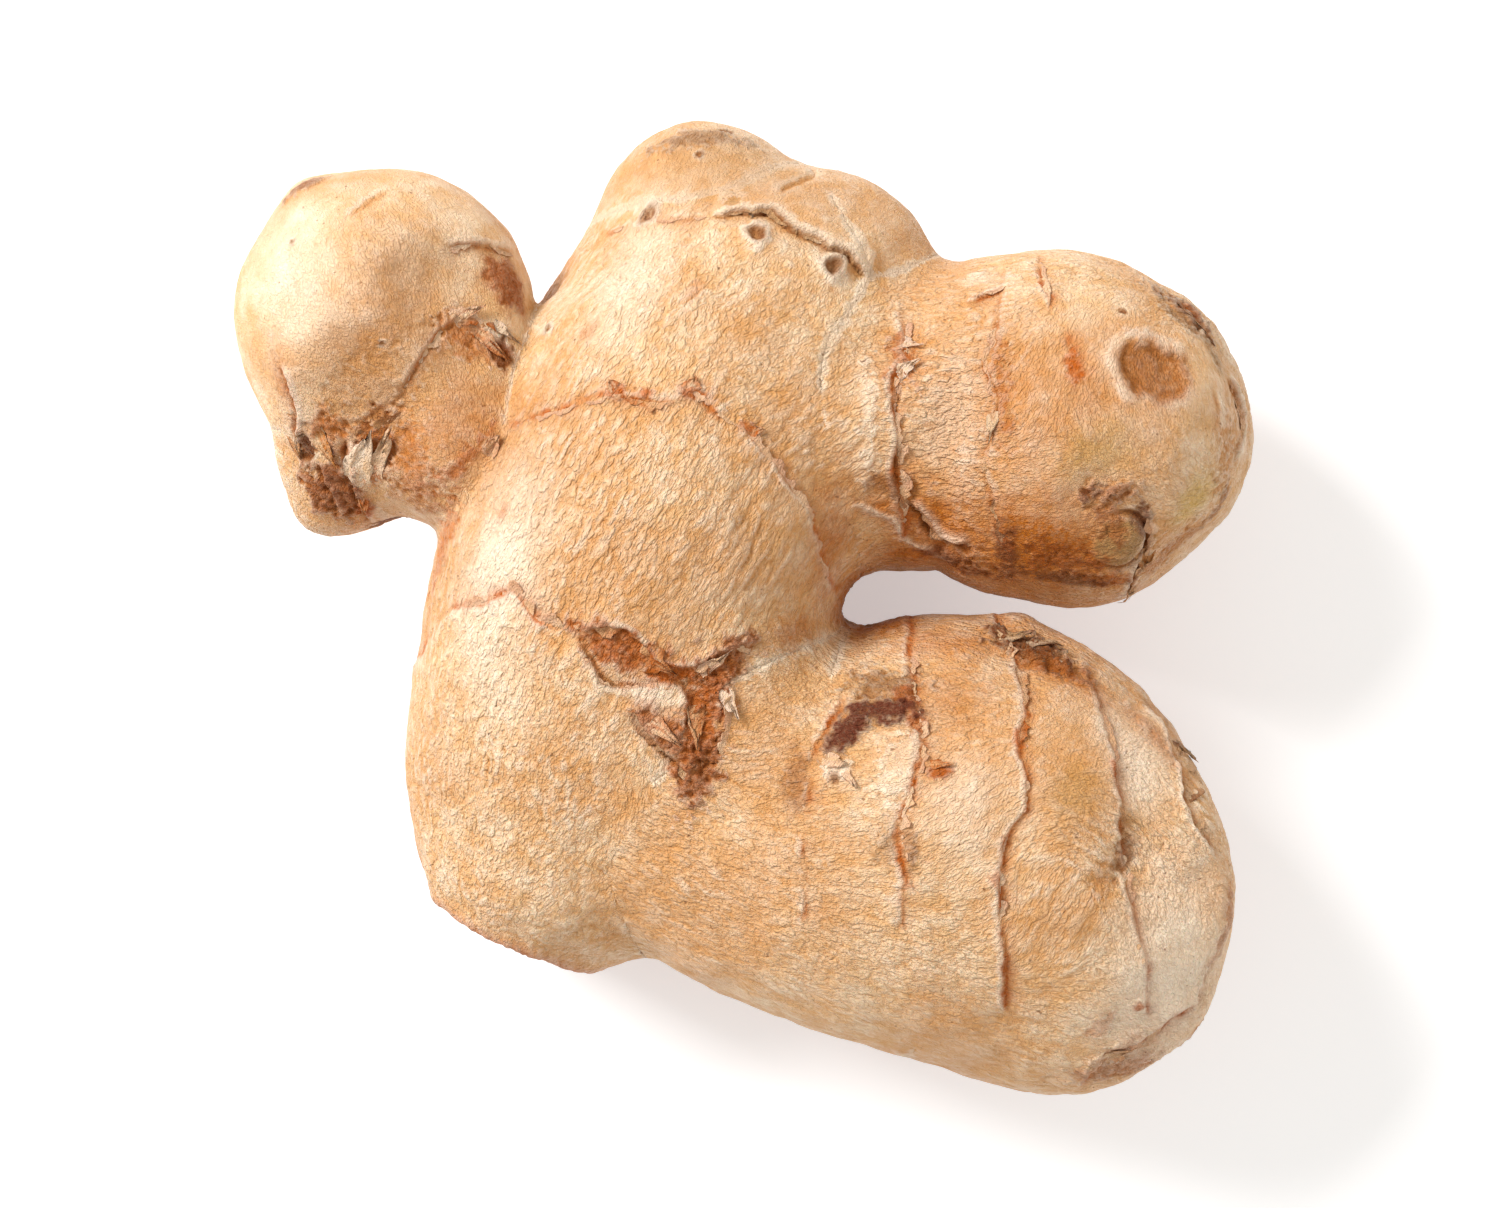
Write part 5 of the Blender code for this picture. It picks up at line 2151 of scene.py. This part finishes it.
@dataclass(frozen=True)
class TornEdge:
    """The thin torn edge of an old leaf scale, grown to the skin along a line and loose on its other side.

    Attributes:
        path: Corners of the line in plan, in mm. The edge hangs over to the right of the line.
        reach: How far it hangs over, in mm.
        lift: How far its loose side stands off the skin, in mm.
        torn: How ragged its loose side is, from 0 to 1.
        stains: How strongly it is stained with what.
        face: The side of the root.
    """

    path: tuple[Point2, ...]
    reach: float = 0.6
    lift: float = 0.25
    torn: float = 0.7
    stains: Stains = stained(rust=0.35)
    face: Face = Face.TOP

    STEP = 0.24
    ROWS = (0.0, 0.28, 0.52, 0.72, 0.88, 1.0)
    ROOTED = 0.3
    THICKNESS = 0.08

    def shell(self, skin: Canvas) -> Shell:
        """The edge as a closed ribbon.

        With u along the line and v from 0 at the rooted side to 1 at the loose one, a point is
        v * (ROOTED + reach * w) - ROOTED to the right, with w = 0.5 + 2.6 * torn * noise(u) faded at both
        ends, at the skin's height plus 0.8 * lift * w * v^1.6, curled by another noise, less a little at
        v = 0 to root it.

        Args:
            skin: The finished skin's points and directions.

        Returns:
            The ribbon.
        """
        path = smooth_curve(np.array(self.path), 12)
        legs = np.hypot(*np.diff(path, axis=0).T)
        run = np.concatenate([[0.0], np.cumsum(legs)])
        steps = np.linspace(0.0, run[-1], 2 + int(run[-1] / self.STEP))
        noise = GradientNoise(int(abs(path[0, 0] * 29 + path[0, 1] * 19)) % 983)
        tears = [
            noise.octaves(np.stack([steps / size, steps * 0.0 + seed, steps * 0.0], axis=1), 3, 0.65)
            for size, seed in ((1.7, 0.4), (2.6, 7.4), (1.2, 15.4))
        ]
        plan = np.stack([np.interp(steps, run, axis) for axis in path.T], axis=1)
        plan = plan + 0.35 * self.torn * np.stack(tears[1:], axis=1)
        ends = smoothstep(0.0, 1.2, steps) * smoothstep(steps[-1], steps[-1] - 1.2, steps)
        width = np.clip(0.5 + 2.6 * self.torn * tears[0], 0.02, 1.5) * ends
        base, normal = skin_at(skin, plan, self.face)
        along = np.gradient(base, axis=0)
        along /= np.linalg.norm(along, axis=1, keepdims=True)
        right = np.cross(along, normal) * (self.face.value or 1)
        right /= np.linalg.norm(right, axis=1, keepdims=True)
        v = np.array(self.ROWS)[None, :]
        across = v * (self.ROOTED + self.reach * width[:, None]) - self.ROOTED
        flat = base[:, None, :] + across[..., None] * right[:, None, :]
        normals = np.broadcast_to(normal[:, None, :], flat.shape)
        ground = ground_height(skin, flat.reshape(-1, 3), normals.reshape(-1, 3)).reshape(across.shape)
        curl = 1.0 + 0.9 * tears[2][:, None]
        sunk = 0.14 * (1.0 - v) ** 2 + 0.1 * smoothstep(0.3, 0.05, width)[:, None]
        height = ground - sunk + 0.8 * self.lift * width[:, None] * curl * v**1.6
        middle = flat + height[..., None] * normals
        thickness = self.THICKNESS * (1.0 - 0.55 * v**3) * np.maximum(ends, 0.15)[:, None]
        points, faces = closed_sheet(middle, normals, thickness * np.ones_like(across))
        patchy = np.clip(0.8 + 1.8 * tears[1], 0.4, 1.25)[:, None] * (0.5 + 0.5 * v)
        share = np.tile(patchy.ravel(), 2)
        stains = {stain: np.clip(amount * share, 0, 1) for stain, amount in self.stains}
        return Shell(points, faces, stains)


FLAKES = (
    # the knob's white papery flap and its rusty neighbours, several of them tinted with painted shade
    Flake((-39.8, 12.2), 70.0, 6.4, 1.8, 0.6, stained(pale=0.55, amber=0.25)),
    Flake((-37.6, 13.4), 62.0, 6.0, 1.2, 0.8, stained(pale=0.3, amber=0.5)),
    Flake((-39.4, 11.6), -88.0, 2.8, 0.9, 0.5, stained(rust=1.0)),
    Flake((-46.2, 20.0), -80.0, 4.0, 0.9, 0.5, stained(amber=0.6, rust=0.3)),
    Flake((-43.8, 17.6), -70.0, 3.4, 1.2, 0.6, stained(amber=0.8)),
    Flake((-26.2, 14.8), 58.0, 2.9, 0.8, 0.55, stained(rust=0.5, pale=0.3)),
    Flake((-29.4, 28.6), 24.0, 3.0, 0.9, 0.6, stained(rust=0.5, pale=0.4)),
    Flake((-27.4, 28.0), -40.0, 3.6, 1.0, 0.6, stained(rust=0.8)),
    Flake((-26.0, 28.6), -30.0, 3.0, 0.8, 0.6, stained(pale=0.6, rust=0.3)),
    # tufts on the trunk's upper ring
    Flake((-12.8, 21.2), 120.0, 1.3, 0.8, 0.5, stained(rust=0.8)),
    Flake((-5.2, 21.2), 80.0, 1.3, 0.9, 0.5, stained(rust=0.7)),
    Flake((0.6, 17.2), 10.0, 1.3, 0.7, 0.45, stained(rust=0.8)),
    # the torn scale between the trunk and the lower finger
    Flake((-9.6, -5.0), -40.0, 2.8, 1.3, 0.5, stained(rust=0.9, umber=0.3)),
    Flake((-4.6, -7.0), 36.0, 3.4, 0.8, 0.5, stained(pale=0.5, rust=0.4)),
    Flake((-2.0, -8.0), -70.0, 3.2, 0.9, 0.6, stained(pale=0.7, rust=0.2)),
    Flake((-5.2, -10.2), -84.0, 4.0, 1.0, 0.45, stained(rust=0.6, umber=0.3)),
    Flake((-9.6, -11.6), -38.0, 3.6, 1.0, 0.5, stained(rust=0.6, pale=0.2)),
    Flake((7.8, -15.4), -16.0, 2.6, 0.8, 0.4, stained(pale=0.4, rust=0.3)),
    Flake((9.8, -16.2), -60.0, 2.4, 0.6, 0.4, stained(pale=0.4, rust=0.3)),
    # the right finger, two of its scraps tinted with painted shade
    Flake((15.4, 23.4), 30.0, 2.2, 0.8, 0.6, stained(pale=0.8, rust=0.2)),
    Flake((15.8, 26.6), -24.0, 2.0, 0.7, 0.5, stained(pale=0.7, rust=0.3)),
    Flake((25.2, 19.4), -100.0, 2.6, 0.7, 0.5, stained(pale=0.6, grey=0.5)),
    Flake((40.6, 5.4), -60.0, 2.4, 1.2, 0.5, stained(amber=0.7, umber=0.3)),
    Flake((41.4, 2.6), -100.0, 2.8, 1.0, 0.5, stained(amber=0.7, pale=0.2)),
    # the lower finger
    Flake((18.4, -16.0), -6.0, 2.2, 0.6, 0.4, stained(rust=1.0)),
    Flake((26.2, -3.4), 30.0, 3.0, 1.2, 0.6, stained(umber=0.6, grey=0.3)),
    Flake((29.0, -4.0), -10.0, 3.0, 1.0, 0.6, stained(umber=0.8)),
    Flake((43.6, -14.0), -50.0, 3.0, 0.8, 0.5, stained(umber=0.6, grey=0.3)),
    Flake((36.6, -47.0), 40.0, 3.0, 1.2, 0.4, stained(rust=0.4, umber=0.2)),
)

# pale papery edges with rust and a little painted shade
PALE_RUST = stained(pale=0.35, amber=0.3, rust=0.4)
RUSTY = stained(rust=0.9, umber=0.15)
DARK = stained(umber=0.7, rust=0.4)

EDGES = (
    # the trunk's upper ring
    TornEdge(((-24.6, 17.6), (-18.5, 19.4), (-12.9, 20.9)), 0.45, 0.12, 0.8, PALE_RUST),
    TornEdge(
        ((-13.6, 20.9), (-12.2, 20.9), (-10.6, 20.2), (-8.6, 19.9), (-6.6, 20.3), (-4.6, 21.0)),
        0.9, 0.45, 0.6, RUSTY,
    ),
    TornEdge(
        ((-6.0, 20.9), (-4.4, 20.9), (-2.8, 19.5), (-1.2, 18.2), (0.6, 16.9)),
        0.7, 0.35, 0.7, PALE_RUST,
    ),
    TornEdge(
        ((9.0, 2.0), (7.9, 4.4), (7.2, 7.4), (5.6, 10.6), (3.0, 13.9), (0.8, 16.4), (-1.0, 17.9)),
        0.5, 0.22, 0.8, PALE_RUST,
    ),
    # the trunk's lower ring
    TornEdge(
        ((-17.0, -2.6), (-20.3, -1.6), (-21.5, -0.4), (-23.0, 1.3), (-26.2, 0.2), (-28.9, -0.5)),
        0.8, 0.4, 0.7, PALE_RUST,
    ),
    # the crown's crack
    TornEdge(
        ((-2.8, 39.5), (-0.2, 39.9), (2.3, 40.0), (3.7, 39.0), (5.9, 37.7), (8.1, 36.7), (9.9, 36.2)),
        0.55, 0.4, 0.45, stained(umber=0.3, grey=0.3),
    ),
    TornEdge(((9.0, 36.5), (10.4, 35.9), (11.2, 35.0), (12.9, 33.2)), 0.6, 0.35, 0.7, DARK),
    TornEdge(((-14.0, 38.5), (-10.4, 39.0), (-7.1, 39.2), (-3.3, 39.5)), 0.3, 0.1, 0.9, PALE_RUST),
    # the knob
    # painted shade tints this edge
    TornEdge(
        ((-34.4, 21.6), (-32.8, 23.9), (-31.6, 26.0), (-30.2, 28.0)),
        0.5, 0.2, 0.9, stained(amber=0.5, pale=0.3),
    ),
    TornEdge(
        ((-31.0, 35.9), (-28.5, 36.2), (-26.9, 36.5), (-25.2, 36.3), (-23.4, 35.5)),
        0.8, 0.3, 0.6, PALE_RUST,
    ),
    TornEdge(
        ((-30.4, 29.2), (-28.6, 29.7), (-27.2, 28.8), (-25.6, 28.0), (-24.2, 26.6)),
        1.0, 0.5, 0.9, RUSTY,
    ),
    TornEdge(((-28.6, 27.6), (-26.8, 27.0), (-25.6, 25.6), (-24.4, 24.2)), 0.8, 0.4, 0.9, RUSTY),
    TornEdge(((-34.0, 19.8), (-37.0, 17.8), (-40.0, 17.2)), 0.8, 0.4, 0.7, DARK),
    # the right finger
    TornEdge(
        ((16.4, 8.0), (15.9, 12.5), (15.6, 17.3), (15.1, 20.5), (15.7, 23.9), (16.5, 26.0), (16.4, 29.0)),
        0.7, 0.35, 0.9, PALE_RUST,
    ),
    TornEdge(((16.6, 27.4), (16.8, 25.2), (16.0, 22.8), (15.8, 19.0)), 0.6, 0.4, 0.9, PALE_RUST),
    TornEdge(
        ((25.9, 30.4), (25.3, 27.0), (24.4, 24.2), (25.1, 20.5), (25.3, 17.3)),
        0.45, 0.2, 0.9, PALE_RUST,
    ),
    TornEdge(((24.4, 15.0), (25.1, 10.4), (26.3, 5.8)), 0.4, 0.16, 0.9, DARK),
    TornEdge(((22.6, 31.0), (24.0, 31.6), (25.6, 31.9), (27.0, 32.7)), 0.5, 0.3, 0.5, PALE_RUST),
    TornEdge(((30.8, 29.4), (30.7, 33.1), (30.3, 35.6)), 0.35, 0.16, 0.9, PALE_RUST),
    TornEdge(
        ((15.6, 11.6), (17.0, 10.2), (19.3, 8.0), (20.6, 7.0), (23.8, 6.0)),
        1.0, 0.7, 0.5, stained(rust=0.6, purple=0.5),
    ),
    # painted shade tints this edge
    TornEdge(
        ((40.7, 9.4), (41.5, 5.4), (40.5, 3.0), (40.1, 1.4)),
        0.8, 0.4, 0.7, stained(amber=0.8, pale=0.2),
    ),
    TornEdge(((44.0, 31.0), (45.6, 30.2), (47.2, 28.4), (48.6, 26.0)), 0.4, 0.25, 0.8, DARK),
    TornEdge(((49.4, 24.2), (50.8, 20.6), (51.4, 17.6)), 0.5, 0.25, 0.8, PALE_RUST),
    # the lower finger's rings
    TornEdge(
        ((16.4, -26.0), (15.7, -22.2), (17.0, -17.8), (18.0, -15.0), (17.8, -11.6), (17.2, -8.0),
         (17.0, -5.0)),
        0.55, 0.25, 0.8, PALE_RUST,
    ),
    TornEdge(
        ((25.8, -32.0), (25.7, -27.7), (25.9, -23.6), (28.0, -20.2), (27.8, -16.2)),
        0.45, 0.18, 0.9, PALE_RUST,
    ),
    TornEdge(
        ((27.8, -16.2), (27.7, -13.3), (28.3, -10.4), (27.7, -5.8), (26.8, -3.6)),
        0.7, 0.35, 0.7, RUSTY,
    ),
    TornEdge(((40.6, -38.0), (39.2, -31.2), (38.1, -25.4), (37.8, -22.5)), 0.4, 0.16, 0.9, PALE_RUST),
    TornEdge(((37.7, -18.2), (37.5, -14.9), (36.0, -9.8)), 0.5, 0.22, 0.8, PALE_RUST),
    TornEdge(
        ((47.6, -24.9), (45.6, -22.0), (44.4, -16.8), (43.6, -14.5), (42.4, -12.1)),
        0.7, 0.35, 0.8, DARK,
    ),
    TornEdge(((35.2, -48.4), (37.4, -46.2), (40.7, -44.6), (43.4, -42.8)), 0.6, 0.25, 0.7, PALE_RUST),
    TornEdge(((33.0, -6.0), (30.2, -4.0), (27.6, -2.8), (26.0, -3.4)), 0.8, 0.4, 0.8, DARK),
    # the torn brown scale
    TornEdge(
        ((-17.2, -2.1), (-15.6, -2.5), (-12.8, -2.3), (-10.4, -3.4), (-8.8, -5.8), (-6.4, -6.4)),
        0.8, 0.35, 0.7, RUSTY,
    ),
    TornEdge(((-6.0, -6.3), (-4.3, -6.4), (-2.3, -5.0), (1.9, -3.4)), 0.7, 0.3, 0.7, RUSTY),
    TornEdge(
        ((-6.0, -8.4), (-10.0, -8.2), (-13.6, -8.1), (-15.6, -5.8), (-17.2, -3.2)),
        0.5, 0.25, 0.7, PALE_RUST,
    ),
    TornEdge(((-6.2, -14.0), (-6.2, -11.0), (-6.0, -8.4)), 0.5, 0.3, 0.6, DARK),
    TornEdge(((-0.6, -7.6), (-1.4, -12.0), (-2.4, -17.0)), 0.7, 0.35, 0.9, PALE_RUST),
    TornEdge(((-11.6, -10.2), (-10.0, -12.6), (-7.5, -15.0), (-5.4, -17.8)), 0.7, 0.4, 0.6, DARK),
)


@dataclass(frozen=True)
class ScaleRemains:
    """All the scraps and torn edges of leaf scale, as one piece."""

    name: str = "scale_scraps"

    def build(self, root: bpy.types.Object) -> bpy.types.Object:
        """Sets every scrap and edge on the root's skin.

        Args:
            root: The finished root.

        Returns:
            The piece, with the stains, hollow, creping, low and way_060 attributes that its finish reads.
        """
        points = read_points(root.data)
        whole = {growth: np.full(len(points), 1.0 / len(Growth)) for growth in Growth}
        skin = Canvas(points, read_normals(root.data), Blend(points[:, 0], whole))
        shells = [scale.shell(skin) for scale in (*FLAKES, *EDGES)]
        counts = [len(shell.points) for shell in shells]
        starts = np.cumsum([0] + counts[:-1])
        scraps = new_piece(
            self.name,
            np.vstack([shell.points for shell in shells]),
            np.vstack([shell.faces + start for shell, start in zip(shells, starts)]),
        )
        for stain in Stain:
            amounts = [shell.stains.get(stain, np.zeros(count)) for shell, count in zip(shells, counts)]
            write_field(scraps.data, stain.value, np.clip(np.concatenate(amounts), 0.0, 1.0))
        # the scraps get none of the low-lying painted shade, and their fixed hollow value gives them a
        # little painted highlight
        for name, value in (("hollow", 0.42), ("creping", 0.5), ("low", 0.0), (way_name(60), 1.0)):
            write_field(scraps.data, name, np.full(sum(counts), value))
        scraps.data.polygons.foreach_set("use_smooth", np.ones(len(scraps.data.polygons), bool))
        log.info("%s: %d shells", self.name, len(shells))
        return scraps


# --- The studio ---


@dataclass(frozen=True)
class Studio:
    """A pale floor, soft daylight from the upper left, and a camera that looks straight down.

    Attributes:
        floor_side: The floor's side, in m.
        lens: The camera's focal length, in mm.
        view_width: What the view spans at the root's middle height, in m.
        middle: What the camera looks at, in m.
        sky, sky_colour: Strength and colour of the light from all round.
        key_power, key_place, key_side: Watts, place and side of the main lamp, in m.
        fill_power, fill_place, fill_side: The same of the weaker lamp opposite.
    """

    floor_side: float = 6.0
    lens: float = 85.0
    view_width: float = 0.156
    middle: Point3 = (0.0, 0.0, 0.020)
    sky: float = 0.52
    sky_colour: tuple[float, float, float, float] = (1.0, 0.93, 0.84, 1.0)
    key_power: float = 19.0
    key_place: Point3 = (-0.78, 0.58, 0.76)
    key_side: float = 0.42
    fill_power: float = 3.0
    fill_place: Point3 = (0.9, -0.3, 0.7)
    fill_side: float = 0.8

    def build(self) -> None:
        """Makes the floor, the lights and the camera."""
        scene = bpy.context.scene
        scene.view_settings.view_transform = "Standard"
        self._floor()
        self._sky(scene)
        self._soft_box("key", self.key_power, self.key_place, self.key_side)
        self._soft_box("fill", self.fill_power, self.fill_place, self.fill_side)
        self._camera(scene)

    def _floor(self) -> bpy.types.Object:
        """A flat pale square just under the root."""
        half = self.floor_side / 2
        mesh = bpy.data.meshes.new("floor")
        corners = [(-half, -half, 0), (half, -half, 0), (half, half, 0), (-half, half, 0)]
        mesh.from_pydata(corners, [], [(0, 1, 2, 3)])
        floor = bpy.data.objects.new("floor", mesh)
        bpy.context.scene.collection.objects.link(floor)
        bench = NodeBench("pale floor")
        shader = bench.node(
            "ShaderNodeBsdfPrincipled",
            Base_Color=(0.8, 0.8, 0.8, 1.0),
            Roughness=0.9,
            Specular_IOR_Level=0.1,
            Emission_Color=(0.92, 0.96, 1.0, 1.0),
            Emission_Strength=0.42,
        )
        bench.plug(bench.output.inputs["Surface"], shader.outputs["BSDF"])
        mesh.materials.append(bench.material)
        return floor

    def _sky(self, scene: bpy.types.Scene) -> None:
        """Warm, even light from all round.

        Args:
            scene: The scene that gets it.
        """
        world = bpy.data.worlds.new("studio")
        world.use_nodes = True
        scene.world = world
        background = next(node for node in world.node_tree.nodes if node.type == "BACKGROUND")
        background.inputs["Color"].default_value = self.sky_colour
        background.inputs["Strength"].default_value = self.sky

    @staticmethod
    def _soft_box(name: str, power: float, place: Point3, side: float) -> None:
        """A square lamp that faces the root.

        Args:
            name: The lamp's name.
            power: In watts.
            place: Where it hangs, in m.
            side: How wide it is, in m.
        """
        lamp = bpy.data.lights.new(name, "AREA")
        lamp.shape = "SQUARE"
        lamp.size = side
        lamp.energy = power
        holder = bpy.data.objects.new(name, lamp)
        holder.location = place
        holder.rotation_euler = (-Vector(place)).to_track_quat("-Z", "Y").to_euler()
        bpy.context.scene.collection.objects.link(holder)

    def _camera(self, scene: bpy.types.Scene) -> None:
        """A camera over the root, view_width * lens / the sensor's width above its middle.

        Args:
            scene: The scene that gets it.
        """
        data = bpy.data.cameras.new("camera")
        data.lens = self.lens
        camera = bpy.data.objects.new("camera", data)
        height = self.view_width * self.lens / data.sensor_width
        camera.location = Vector(self.middle) + Vector((0.0, 0.0, height))
        scene.collection.objects.link(camera)
        scene.camera = camera


def main() -> None:
    """Builds the root, its scraps of scale and the studio, in that order."""
    logging.basicConfig(level=logging.INFO, format="%(name)s %(message)s")
    finish = GingerSkin().make("ginger skin")
    root = Rhizome().build()
    scraps = ScaleRemains().build(root)
    for piece in (root, scraps):
        piece.data.materials.clear()
        piece.data.materials.append(finish)
        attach(piece, BODY)
    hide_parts(NODE)
    Studio().build()


if __name__ == "__main__":
    main()
